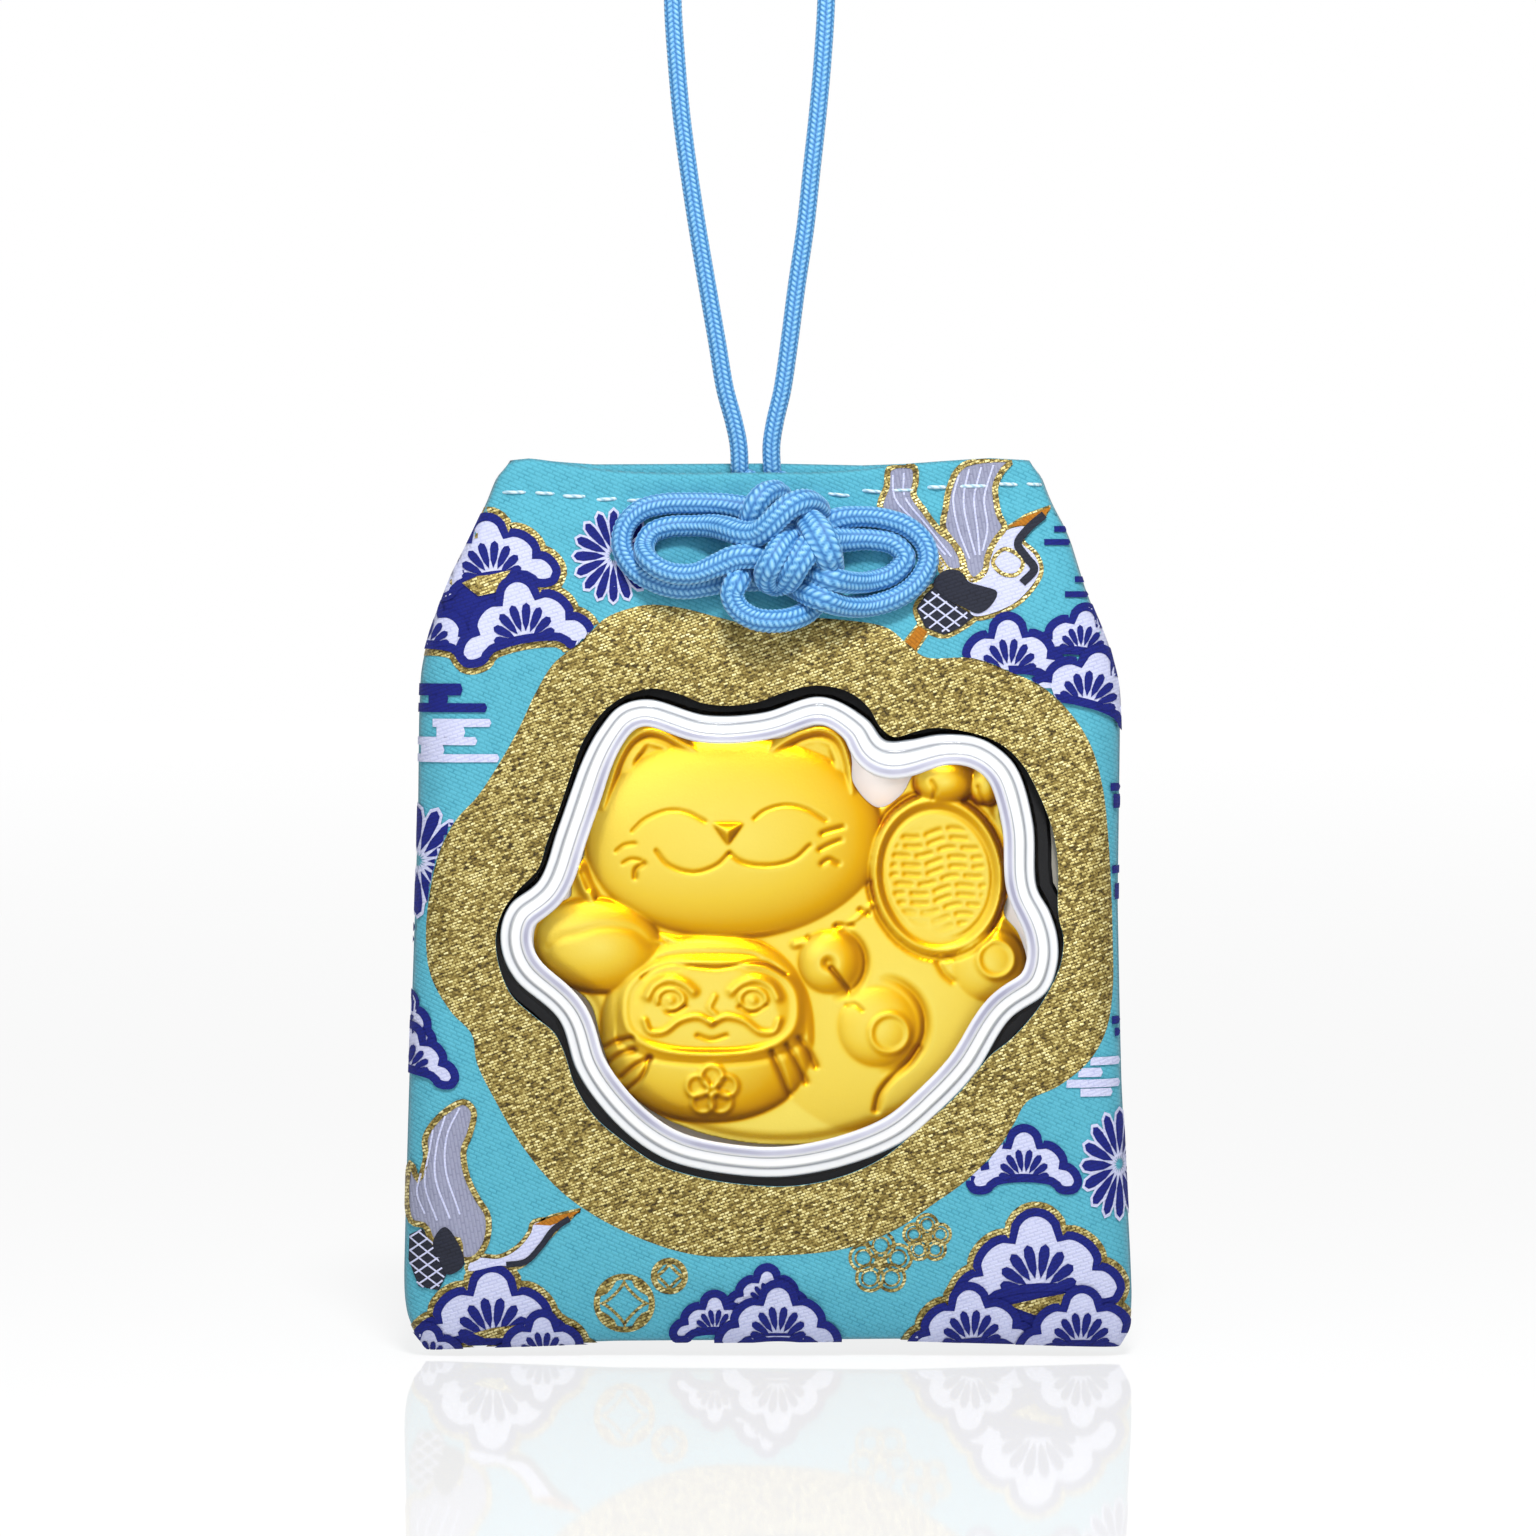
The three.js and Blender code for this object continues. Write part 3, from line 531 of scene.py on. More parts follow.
# Soft folds of the front cloth: x and drop of both ends, width and height
FOLDS = [
    (-4, 5, -19, 13, 1.3, 0.28), (-6, 4, -22, 5.5, 1.0, 0.2), (6, 5, 20, 12, 1.3, 0.28),
    (5, 3.6, 21, 4.4, 1.0, 0.2), (-24, 16, -27.5, 30, 1.1, 0.25), (26, 18, 27.8, 34, 1.1, 0.25),
    (-28, 56, -26, 66, 1.2, 0.25), (28, 52, 26.5, 64, 1.2, 0.22), (-12, 66, 10, 67.5, 1.4, 0.2),
]


def fold_height(x, drop):
    """How far the soft folds lift the front cloth"""
    total = np.zeros(np.shape(x))
    for x1, drop1, x2, drop2, width, height in FOLDS:
        run = np.array([x2 - x1, drop2 - drop1], float)
        share = ((x - x1) * run[0] + (drop - drop1) * run[1]) / (run @ run)
        held = np.clip(share, 0, 1)
        away = np.hypot(x - x1 - held * run[0], drop - drop1 - held * run[1])
        total += height * np.exp(-((away / width) ** 2)) * np.sin(np.pi * np.clip(share, 0.02, 0.98))
    return total


def pucker(x, drop):
    """The hem drawn in by its stitches"""
    row = np.exp(-(((drop - HEM_DROP) / PUCKER_HEIGHT) ** 2))
    return row * PUCKER_DEPTH * (1 + np.cos(2 * math.pi * x / STITCH_PITCH))


def quarter_round(into):
    """The height of a quarter circle: 1 at its start and 0 at its end"""
    return np.sqrt(np.clip(1 - np.clip(into, 0, 1) ** 2, 0, 1))


def face_depth(x, drop, side):
    """How far the outer face of the cloth lies from the middle, side -1 in front and 1 behind"""
    drop = np.clip(drop, 0, HEIGHT)
    from_side = np.minimum(x - left_edge(drop), right_edge(drop) - x)
    from_foot = foot_edge(x) - drop
    fold = quarter_round(1 - from_side / SEAM_FOLD) * quarter_round(1 - from_foot / SEAM_FOLD)
    swell = HALF_DEPTH - RIM_HALF_DEPTH
    mouth_share = (MOUTH_HALF_DEPTH - RIM_HALF_DEPTH) / swell
    share = np.clip(drop / SHOULDER_DEPTH, 0, 1)
    shoulder = mouth_share + (1 - mouth_share) * share * share * (3 - 2 * share)
    foot = quarter_round(1 - from_foot / FOOT_CURVE)
    at_side = quarter_round((SIDE_CURVE - from_side) / SIDE_CURVE)
    depth = RIM_HALF_DEPTH * fold + swell * at_side * foot * shoulder - pucker(x, drop) * at_side
    if side < 0:
        depth = depth + fold_height(x, drop) * at_side
    return depth


def cloth_form(side):
    """The outer face, from just above the foot to the mouth, and turned down inside as the hem"""
    length = HEIGHT + HEM_DEPTH
    # A whole number of rows, so the last row ends 0.17 mm above the foot, which isn't closed there
    turn_share = round(CLOTH_ROWS * HEM_DEPTH / length) / CLOTH_ROWS
    turn_length, hem_level, least_depth = 0.5, CLOTH * 0.75, 0.03

    def form(across, down):
        run = (down - turn_share) * length
        top = top_edge(np.interp(across, [0, 1], MOUTH_SPAN), side)
        bottom = foot_edge(np.interp(across, [0, 1], FOOT_SPAN))
        drop = top + np.abs(run) * (bottom - top) / HEIGHT
        across = np.clip(across, 0, 1)
        x = left_edge(drop) + (right_edge(drop) - left_edge(drop)) * across
        from_turn = np.clip(np.abs(run) / turn_length, 0, 1)
        x = x + np.where(run < 0, HEM_INSET * from_turn * (1 - 2 * across), 0)
        rolled = MOUTH_ROLL * (1 - from_turn) ** 2
        turned_in = MOUTH_ROLL + (hem_level - MOUTH_ROLL) * from_turn
        depth = face_depth(x, drop, side) - np.where(run < 0, turned_in, rolled)
        depth = np.maximum(depth, least_depth)
        return np.stack([x, side * depth, -drop], axis=1)

    return form


# Outlines on the front, in pixels of the photograph

WINDOW_PIXELS = [
    (625, 696), (652, 688), (679, 693), (702, 702), (729, 705), (759, 701), (786, 691), (817, 685),
    (847, 691), (867, 706), (880, 727), (893, 736), (912, 731), (932, 727), (966, 731), (997, 742),
    (1020, 763), (1037, 794), (1049, 825), (1055, 859), (1056, 913), (1061, 936), (1058, 962),
    (1046, 989), (1031, 1012), (1008, 1037), (989, 1052), (955, 1092), (920, 1123), (882, 1154),
    (840, 1173), (794, 1182), (748, 1181), (702, 1174), (660, 1161), (625, 1138), (595, 1112),
    (576, 1081), (566, 1050), (556, 1030), (537, 1014), (514, 993), (502, 966), (498, 936), (505, 909),
    (522, 886), (540, 867), (549, 840), (562, 805), (572, 775), (583, 744), (602, 714),
]
LAME_PIXELS = [
    (652, 605), (630, 609), (606, 619), (585, 640), (556, 663), (538, 692), (521, 728), (503, 760),
    (480, 795), (459, 818), (443, 848), (434, 880), (428, 932), (433, 973), (453, 1008), (474, 1031),
    (479, 1059), (498, 1098), (524, 1142), (559, 1184), (597, 1212), (651, 1238), (699, 1251),
    (760, 1252), (846, 1244), (897, 1224), (932, 1200), (964, 1177), (996, 1145), (1012, 1120),
    (1025, 1098), (1057, 1082), (1088, 1056), (1104, 1028), (1111, 989), (1111, 932), (1109, 880),
    (1106, 836), (1100, 786), (1088, 745), (1068, 713), (1039, 686), (1009, 672), (971, 658),
    (924, 657), (907, 645), (886, 628), (841, 620), (790, 618), (750, 624), (717, 617), (686, 609),
]
# The case's outline from its centre, in shares of its width and height
CASE_SHARES = [
    (-0.236, 0.495), (-0.133, 0.462), (-0.03, 0.467), (0.076, 0.5), (0.157, 0.454), (0.19, 0.41),
    (0.234, 0.411), (0.289, 0.422), (0.353, 0.416), (0.395, 0.391), (0.427, 0.35), (0.456, 0.238),
    (0.463, 0.103), (0.485, 0.055), (0.5, 0), (0.5, -0.057), (0.48, -0.116), (0.414, -0.172),
    (0.353, -0.284), (0.289, -0.363), (0.221, -0.429), (0.124, -0.475), (0.012, -0.5),
    (-0.091, -0.495), (-0.197, -0.467), (-0.265, -0.419), (-0.326, -0.347), (-0.366, -0.276),
    (-0.397, -0.172), (-0.474, -0.09), (-0.498, -0.034), (-0.5, 0.022), (-0.482, 0.07),
    (-0.432, 0.118), (-0.397, 0.23), (-0.348, 0.383), (-0.32, 0.439), (-0.287, 0.48),
]
FOIL_PIXELS = [
    (648, 723), (669, 730), (689, 739), (733, 736), (779, 738), (800, 730), (821, 725), (842, 731),
    (851, 756), (853, 782), (878, 807), (901, 794), (913, 774), (929, 762), (955, 757), (981, 760),
    (1000, 771), (1004, 790), (998, 807), (1007, 851), (1008, 890), (1003, 912), (1017, 931),
    (1026, 962), (1019, 987), (999, 1003), (984, 1028), (969, 1064), (934, 1095), (879, 1124),
    (817, 1141), (748, 1141), (686, 1126), (643, 1103), (615, 1075), (603, 1044), (592, 1005),
    (581, 992), (555, 976), (537, 952), (536, 927), (551, 906), (571, 895), (572, 876), (585, 853),
    (583, 839), (596, 812), (603, 789), (611, 759), (625, 735),
]


def case_line(count):
    """The case's outline as x and drop"""
    shares = np.array(CASE_SHARES)
    x = CASE_CENTRE[0] + shares[:, 0] * CASE_WIDTH
    drop = CASE_CENTRE[1] - shares[:, 1] * CASE_HEIGHT
    return smooth_curve(np.stack([x, drop], axis=1), count, closed=True)


def drawn_in(line, inset):
    """A closed line moved inwards in small steps, less at its top and more by the notch between the
    ear and the coin, and eased on the way so that tight bends stay clean"""
    step = 0.02
    top_drops, top_shares = [19, 27], [0.8, 1]
    notch_x, notch_drop, notch_reach = 9.8, 24, 3
    for _ in range(round(inset / step)):
        pace = step * np.interp(line[:, 1], top_drops, top_shares)[:, None]
        notch = np.hypot((line[:, 0] - notch_x) / notch_reach, (line[:, 1] - notch_drop) / notch_reach)
        pace = pace * (1 + 0.35 * np.exp(-(notch[:, None] ** 2)))
        ahead, behind = np.roll(line, -1, axis=0), np.roll(line, 1, axis=0)
        along = ahead - behind
        along /= np.linalg.norm(along, axis=1)[:, None]
        turning = np.sum(line[:, 0] * np.roll(line[:, 1], -1) - np.roll(line[:, 0], -1) * line[:, 1])
        inward = np.stack([-along[:, 1], along[:, 0]], axis=1) * np.sign(turning)
        line = line + inward * pace
        line = 0.98 * line + 0.01 * (np.roll(line, -1, axis=0) + np.roll(line, 1, axis=0))
        line = evenly_round(line, len(line))
    return line


def inside_of(line, x, drop):
    """Whether places lie inside a closed line"""
    inside = np.zeros(np.shape(x), bool)
    for (x1, d1), (x2, d2) in zip(line, np.roll(line, -1, axis=0)):
        crosses = (d1 > drop) != (d2 > drop)
        inside ^= crosses & (x < (x2 - x1) * (drop - d1) / ((d2 - d1) or 1e-9) + x1)
    return inside


def trim(made, line, keep_inside):
    """Cuts a sheet along a closed line of x and drop, and snaps the cut edge to that line"""
    middles = np.array([face.calc_center_median() for face in made.faces])
    held = inside_of(line, middles[:, 0], -middles[:, 2])
    lost = [face for face, inside in zip(made.faces, held) if inside != keep_inside]
    before = {edge for edge in made.edges if edge.is_boundary}
    bmesh.ops.delete(made, geom=lost, context="FACES")
    cut = {v for edge in made.edges if edge.is_boundary and edge not in before for v in edge.verts}
    dense = evenly_round(line, 2400)
    for vertex in cut:
        x, drop = nearest_on(dense, vertex.co.x, -vertex.co.z)
        vertex.co.x, vertex.co.z = x, -drop


# Cord routes, in millimetres on the pouch: x, y and height above the mouth

KNOT_ROUTE = [
    (0.45, 0.1, -0.75), (1, 0, -1.7), (2.1, -0.2, -2.9), (3.3, -0.9, -3.9), (3.95, -2.3, -4.3),
    (3.9, -4, -3.9), (3.3, -5.4, -3.45), (2.5, -6.4, -3.4), (1.6, -7, -3.8), (0.7, -7.1, -4.6),
    (-0.1, -6.9, -5.4), (-0.95, -6.4, -5.95), (-2.1, -5.8, -5.95), (-3.2, -5, -5.6), (-4.5, -3.9, -5.3),
    (-6.3, -3.2, -5.25), (-8.2, -3.2, -5.35), (-9.6, -3.3, -5.9), (-10.2, -3.9, -7.1), (-9.6, -5.5, -8.3),
    (-8.1, -5.8, -9.1), (-6.1, -5.8, -9.2), (-4.2, -6, -8.5), (-2.7, -6.2, -7.9), (-1.2, -6.1, -7.8),
    (0.4, -5.1, -8), (2.3, -5, -8.5), (3.7, -5.7, -9), (5, -6.8, -9.6), (6.5, -5.8, -9.9),
    (8.3, -4.2, -9.8), (10.1, -3.9, -9.2), (11.1, -3.7, -7.9), (10.2, -3.5, -6.8), (8.3, -3.4, -6.4),
    (6.7, -3.6, -6.4), (5.2, -4.2, -6.5), (4.1, -5.3, -6.7), (3.3, -6.8, -7.1), (2.7, -7.5, -7.9),
    (2.2, -7.6, -8.7), (1.75, -7, -9.4), (1.3, -6, -9.85), (0.6, -5.4, -10), (0, -6, -9.8),
    (-0.2, -7, -9.2), (0.1, -7.6, -8.5), (0.55, -7.5, -7.7), (1.1, -6.9, -6.9), (1.9, -5.6, -6.2),
    (2.9, -4.1, -5.8), (4.2, -3.2, -5.4), (5.7, -3.1, -4.7), (7.5, -3, -4.5), (9.5, -3.1, -4.7),
    (11.4, -3.2, -5.4), (12.7, -3.4, -6.7), (13, -3.7, -8.2), (12, -4.1, -10), (10.3, -4.3, -11.2),
    (8.2, -4.4, -11.8), (6.1, -5.6, -11.8), (4.4, -6.7, -11.3), (3.1, -5.8, -10.7), (1.8, -4.1, -10),
    (0.2, -3.7, -9.6), (-1.6, -3.8, -9.6), (-3.4, -3.9, -9.7), (-5.3, -4.1, -10.2), (-7.2, -4.2, -10.4),
    (-9.2, -4.1, -9.9), (-11, -3.8, -8.8), (-12, -3.5, -7), (-11.7, -3.2, -5.2), (-10.5, -3, -4),
    (-8.8, -2.9, -3.5), (-6.5, -2.9, -3.4), (-4, -2.9, -3.5), (-1.6, -2.9, -3.9), (0.5, -3, -4),
    (1.7, -3.6, -4.05), (2.6, -4.9, -4.5), (3.5, -6.4, -5.3), (4.2, -7.5, -6.4), (4.7, -7.5, -7.5),
    (5, -6.2, -8.4), (5.1, -4.6, -9.1), (4.7, -3.9, -10.2), (3.9, -4.2, -11.3), (3, -5, -12.3),
    (1.7, -6.1, -12.9), (0.2, -6.5, -13.05), (-1.3, -6.4, -12.8), (-2.5, -6.2, -12), (-3, -6.2, -10.9),
    (-2.7, -6.2, -10), (-2.2, -5, -9.2), (-2, -3.9, -8.3), (-1.9, -3.5, -7.3), (-1.8, -3.5, -6.3),
    (-1.6, -4.1, -5.2), (-1.3, -5, -4.3), (-0.95, -5.2, -3.5), (-0.4, -4.8, -2.85), (0.3, -3.9, -2.55),
    (0.8, -2.6, -2.75), (0.6, -1.2, -3), (-0.3, -0.4, -2.7), (-1.5, 0, -1.7), (-2.35, 0.1, -0.75),
]
# The loop's route: x and height above the mouth
LOOP_ROUTE = [
    (-2.5, 1.4), (-2.9, 3.4), (-3.6, 6), (-4.3, 10.1), (-5.1, 14.7), (-5.9, 19.4), (-6.6, 24),
    (-7.2, 28.6), (-7.6, 33), (-7.9, 38), (-7.8, 42), (-6.9, 46), (-4.7, 49), (-1.6, 50),
    (1.5, 49), (3.7, 46), (4.7, 42), (4.7, 38), (4.4, 33), (4, 28.6), (3.5, 24), (3, 19.4),
    (2.3, 14.7), (1.7, 10.1), (1.1, 6), (0.5, 3.4), (0.2, 1.4),
]
# Where the knot's cords are pressed flat: x and height, with the reach and the strength of each
KNOT_MIDDLE, KNOT_REACH, KNOT_PRESS = (0.9, -7.2), 7, 0.2
BROAD_STRAND, BROAD_REACH, BROAD_PRESS = (4.1, -6.2), 2.8, 0.4
TOP_STRANDS_Y = -6


def carried_frames(line):
    """Two directions across a line at each of its points, carried along it without twist"""
    along = np.gradient(line, axis=0)
    along /= np.linalg.norm(along, axis=1)[:, None]
    first = np.cross(along[0], (1, 0, 0))
    across = [first / np.linalg.norm(first)]
    for direction in along[1:]:
        carried = across[-1] - direction * (across[-1] @ direction)
        across.append(carried / np.linalg.norm(carried))
    across = np.array(across)
    return across, np.cross(along, across)


def tube(line, sides, radius, press=0):
    """A closed tube along a line, its radius read from around and ring, and pressed flat to the front"""
    rings = len(line) - 1
    across, upward = carried_frames(line)

    def form(around, down):
        ring = np.clip(np.rint(down * rings).astype(int), 0, rings)
        angle = 2 * math.pi * around
        turned = np.cos(angle)[:, None] * across[ring] + np.sin(angle)[:, None] * upward[ring]
        pressed = np.broadcast_to(press, len(line))[ring]
        spread = np.stack([1 + pressed, 1 - pressed, 1 + pressed], axis=1)
        return line[ring] + turned * radius(around, ring)[:, None] * spread

    return sheet(sides, rings, form)


def rounded_ends(ring, rings, gap, reach):
    """Shares of the radius, closing to a half round at both ends of a tube"""
    ends = np.clip(np.minimum(ring, rings - ring) * gap / reach, 0.01, 1)
    return np.sqrt(1 - (1 - ends) ** 2)


def thin_thread(line, girth):
    """A thin thread along a line, rounded at both ends"""
    rings, sides, end_rings = len(line) - 1, 10, 3
    made = tube(line, sides, lambda around, ring: girth * rounded_ends(ring, rings, 1, end_rings))
    seal(made)
    return made


def braided_cord(route, diameter, pressed=None):
    """A round braid: plaits in chains of V, drawn on the tube's own surface"""
    ring_gap, sides = 0.1, 40
    rough = smooth_curve(route, 2000)
    length = np.linalg.norm(np.diff(rough, axis=0), axis=1).sum()
    rings = round(length / ring_gap)
    line = evenly(rough, rings + 1)
    crowns = []

    def radius(around, ring):
        column = around * PLAIT_COLUMNS
        in_column = column - np.floor(column) - 0.5
        odd = np.floor(column) % 2
        lean = PLAIT_LEAN * (1 - 2 * odd) * in_column
        phase = ring * ring_gap / PLAIT + lean + odd / 2
        crown = np.abs(np.cos(math.pi * phase)) ** 0.7 * np.cos(math.pi * in_column * 0.94) ** 0.6
        crowns.append(crown)
        girth = diameter / 2 * (VALLEY_SHARE + CROWN_SHARE * crown)
        return girth * rounded_ends(ring, rings, ring_gap, diameter / 2)

    made = tube(line, sides, radius, 0 if pressed is None else pressed(line))
    layer = made.verts.layers.float.new("crown")
    for vertex, crown in zip(made.verts, crowns[0]):
        vertex[layer] = crown
    seal(made)
    return made, line, length


def squeezed(line):
    """How flat the cord lies: most in the middle of the knot, and in the broad strand over it"""
    middle = np.hypot(line[:, 0] - KNOT_MIDDLE[0], line[:, 2] - KNOT_MIDDLE[1])
    broad = np.hypot(line[:, 0] - BROAD_STRAND[0], line[:, 2] - BROAD_STRAND[1])
    on_top = line[:, 1] < TOP_STRANDS_Y
    all_round = KNOT_PRESS * np.clip((KNOT_REACH - middle) / 2.5, 0, 1)
    return all_round + BROAD_PRESS * np.clip(1 - broad / BROAD_REACH, 0, 1) * on_top


def make_cords():
    made, _, _ = braided_cord(KNOT_ROUTE, KNOT_CORD, squeezed)
    settle(made, "cord_knot_braid", BRAID, replaced=["cord_knot"])

    (left, _), (right, _) = LOOP_ROUTE[0], LOOP_ROUTE[-1]
    shift = 0.1
    strands = [(left + shift, STRAND_FOOT), *LOOP_ROUTE, (right + shift, STRAND_FOOT)]
    made, line, length = braided_cord([(x, 0, z) for x, z in strands], LOOP_CORD)
    loop = settle(made, "hanging_loop_braid", BRAID, body=None,
                  replaced=["hanging_loop"])
    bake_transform(loop)


def aim(thing, place, target):
    thing.location = place
    thing.rotation_euler = (target - place).to_track_quat("-Z", "Y").to_euler()


def make_camera():
    x, drop = from_photo([FRAME_CENTRE_PIXEL])[0]
    target = on_pouch(x, 0, drop)
    tilt = math.radians(CAMERA_ELEVATION)
    back = Vector((0, -math.cos(tilt), math.sin(tilt))) * CAMERA_DISTANCE * MM
    camera = bpy.data.objects.new("camera", bpy.data.cameras.new("camera"))
    camera.data.lens = CAMERA_LENS
    camera.data.clip_start = 0.01
    bpy.context.scene.collection.objects.link(camera)
    bpy.context.scene.camera = camera
    aim(camera, target + back, target)


def lamp(name, place, size, power, target):
    light = bpy.data.lights.new(name, "AREA")
    light.shape = "DISK"
    light.size = size
    light.energy = power
    thing = bpy.data.objects.new(name, light)
    bpy.context.scene.collection.objects.link(thing)
    aim(thing, Vector(place), target)


def make_studio():
    middle = on_pouch(0, 0, HEIGHT / 2)
    for name, place, width, power in LAMPS:
        lamp(name, place, width, power, middle)
    light_world()
    lay_floor()


def light_world():
    """White where the camera and reflections see it, and a softer white as light"""
    world = bpy.data.worlds.new("studio")
    world.use_nodes = True
    bpy.context.scene.world = world
    tree = world.node_tree
    tree.nodes.clear()
    path = add(tree, "LightPath")
    seen = add(tree, "Math", {0: path.outputs["Is Camera Ray"], 1: path.outputs["Is Glossy Ray"]},
               operation="MAXIMUM")
    seen = add(tree, "Math", {0: seen.outputs[0], 1: path.outputs["Is Transmission Ray"]},
               operation="MAXIMUM")
    soft = add(tree, "Background", {"Color": grey(1), "Strength": AMBIENT})
    white = add(tree, "Background", {"Color": grey(1), "Strength": 1})
    mixed = add(tree, "MixShader", {0: seen.outputs[0], 1: soft.outputs[0], 2: white.outputs[0]})
    add(tree, "OutputWorld", {"Surface": mixed.outputs[0]})


def lay_floor():
    """A white floor that mirrors the pouch faintly, and shows a soft shadow under it"""
    floor = bmesh.new()
    bmesh.ops.create_grid(floor, x_segments=1, y_segments=1, size=FLOOR_HALF_WIDTH)
    mesh = bpy.data.meshes.new("floor")
    floor.to_mesh(mesh)
    floor.free()
    thing = bpy.data.objects.new("floor", mesh)
    thing.location = (0, 0, cad_bounds[0].z - FLOOR_GAP)
    bpy.context.scene.collection.objects.link(thing)
    material, tree, shader = finish("white gloss floor", Base_Color=grey(0.9), Roughness=0.04)
    path = add(tree, "LightPath")
    glow = add(tree, "Emission", {"Color": grey(1), "Strength": FLOOR_WHITE})
    seen = add(tree, "Math", {0: path.outputs["Is Camera Ray"], 1: FLOOR_WHITE_SHARE},
               operation="MULTIPLY")
    mixed = add(tree, "MixShader", {0: seen.outputs[0], 1: shader.outputs[0], 2: glow.outputs[0]})
    output = tree.nodes["Material Output"]
    tree.links.new(mixed.outputs[0], output.inputs["Surface"])
    mesh.materials.append(material)


# Pouch pieces


def make_cloth():
    """The two panels, each with its hem turned down inside, and the window cut in the front one"""
    for side, face in ((-1, "front"), (1, "back")):
        made = sheet(CLOTH_COLUMNS, CLOTH_ROWS, cloth_form(side))
        if side < 0:
            window = smooth_curve(from_photo(WINDOW_PIXELS), 400, closed=True)
            trim(made, window, keep_inside=False)
        turn_out(made, side)
        piece = settle(made, face + "_brocade", BROCADE, replaced=[face + "_panel"])
        # Half the cloth's real thickness, so that the hem lies clear of the panel that it is turned into
        thicken(piece, CLOTH / 2)


def polar_reader(line, centre):
    """Reads a closed line's distance from a centre at an angle"""
    dense = evenly_round(line, 4000) - centre
    angle = np.arctan2(dense[:, 1], dense[:, 0])
    reach = np.hypot(dense[:, 0], dense[:, 1])
    order = np.argsort(angle)
    return lambda at: np.interp(at, angle[order], reach[order], period=2 * math.pi)


def make_lame():
    """The field of gold lame round the window, raised a little, with its outer edge pressed down"""
    lift, edge_lift = 0.07, 0.02
    centre = np.array(CASE_CENTRE)
    inner = polar_reader(smooth_curve(from_photo(WINDOW_PIXELS), 800, closed=True), centre)
    outer = polar_reader(smooth_curve(from_photo(LAME_PIXELS), 800, closed=True), centre)

    def form(around, down):
        angle = (around - 0.5) * 2 * math.pi
        reach = inner(angle) * (1 - down) + outer(angle) * down
        x = centre[0] + np.cos(angle) * reach
        drop = centre[1] + np.sin(angle) * reach
        depth = face_depth(x, drop, -1) + np.where(down > 0.995, edge_lift, lift)
        return np.stack([x, -depth, -drop], axis=1)

    columns, rows = 480, 26
    made = sheet(columns, rows, form)
    bmesh.ops.remove_doubles(made, verts=made.verts, dist=0.002)
    turn_out(made, -1)
    settle(made, "gold_lame_field", GOLD_LAME)


def make_seam():
    """The seam thread, along both sides and the foot, a little in from the edge"""
    corner_rise, corner_run = 4, 2
    drops = np.linspace(SEAM_INSET + HEM_DEPTH, HEIGHT - corner_rise, 40)
    left = np.stack([left_edge(drops) + SEAM_INSET, drops], axis=1)
    right = np.stack([right_edge(drops) - SEAM_INSET, drops], axis=1)
    across = np.linspace(left[-1, 0] + corner_run, right[-1, 0] - corner_run, 30)
    foot = np.stack([across, foot_edge(across) - SEAM_INSET], axis=1)
    line = smooth_curve(np.vstack([left, foot, right[::-1]]), 420)
    line = np.stack([line[:, 0], 0 * line[:, 0], -line[:, 1]], axis=1)
    settle(thin_thread(line, STITCH_THICKNESS / 2), "seam_stitching", THREAD,
           replaced=["seam_thread"])


def finish_carried():
    """Better finishes for the CAD solids that stay as they are"""
    for name, material in (("case_holder", FOAM), ("case_base", PANE), ("backing_card", WHITE_CARD),
                           ("window_card", GREY_CARD), ("back_board", GREY_CARD)):
        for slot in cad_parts[name].material_slots:
            slot.material = material


# Case

# The rim's steps, from the outer edge inwards: inset and height
RIM_PROFILE = [
    (0.0, 2.4), (0.0, 3.84), (0.06, 4.02), (0.16, 4.12), (0.3, 4.17), (0.5, 4.19), (0.72, 4.2),
    (0.78, 4.24), (0.84, 4.4), (0.9, 4.58), (0.98, 4.66), (1.1, 4.69), (1.34, 4.7), (1.58, 4.7),
    (1.64, 4.74), (1.7, 4.88), (1.76, 5.04), (1.84, 5.1), (2.0, 5.13), (2.2, 5.13), (2.4, 5.1), (2.6, 5.04),
]


def make_case():
    """The clear cover: its stepped rim, and its pane"""
    count = 520
    insets = [inset for inset, _ in RIM_PROFILE]
    lines = [case_line(count)]
    for before, after in zip(insets, insets[1:]):
        lines.append(drawn_in(lines[-1], after - before))
    rows = len(lines) - 1
    loops = np.array(lines)
    depths = np.array([depth for _, depth in RIM_PROFILE])

    def form(around, down):
        row = np.rint(down * rows).astype(int)
        spot = np.rint(around * count).astype(int) % count
        x, drop = loops[row, spot].T
        return np.stack([x, -depths[row], -drop], axis=1)

    made = sheet(count, rows, form, closed=True)
    reach = made.loops.layers.uv.active
    for face in made.faces:
        for corner in face.loops:
            row = int(np.argmin(np.abs(depths + corner.vert.co.y)))
            corner[reach].uv.y = insets[row] / insets[-1]
    turn_out(made, -1)
    rim = settle(made, "clear_case_rim", RIM, replaced=["clear_cover"])
    # Clear plastic lets the light through to the foil and the card
    rim.visible_shadow = False
    thicken(rim, CASE_WALL)

    pane = bmesh.new()
    fill_outline(pane, [(x, -depths[-1], -drop) for x, drop in lines[-1]])
    turn_out(pane, -1)
    thicken(settle(pane, "clear_case_pane", PANE, smooth=False), CASE_WALL)


# Gold foil: the relief is drawn in pixels of the photograph, with heights in millimetres

FOIL_LEFT, FOIL_RIGHT, FOIL_TOP, FOIL_FOOT = 528, 1034, 716, 1148
FOIL_COLUMNS, FOIL_ROWS = 380, 324
LEAST_RELIEF, MOST_RELIEF = 0.02, 2.14
OUTSIDE = -9


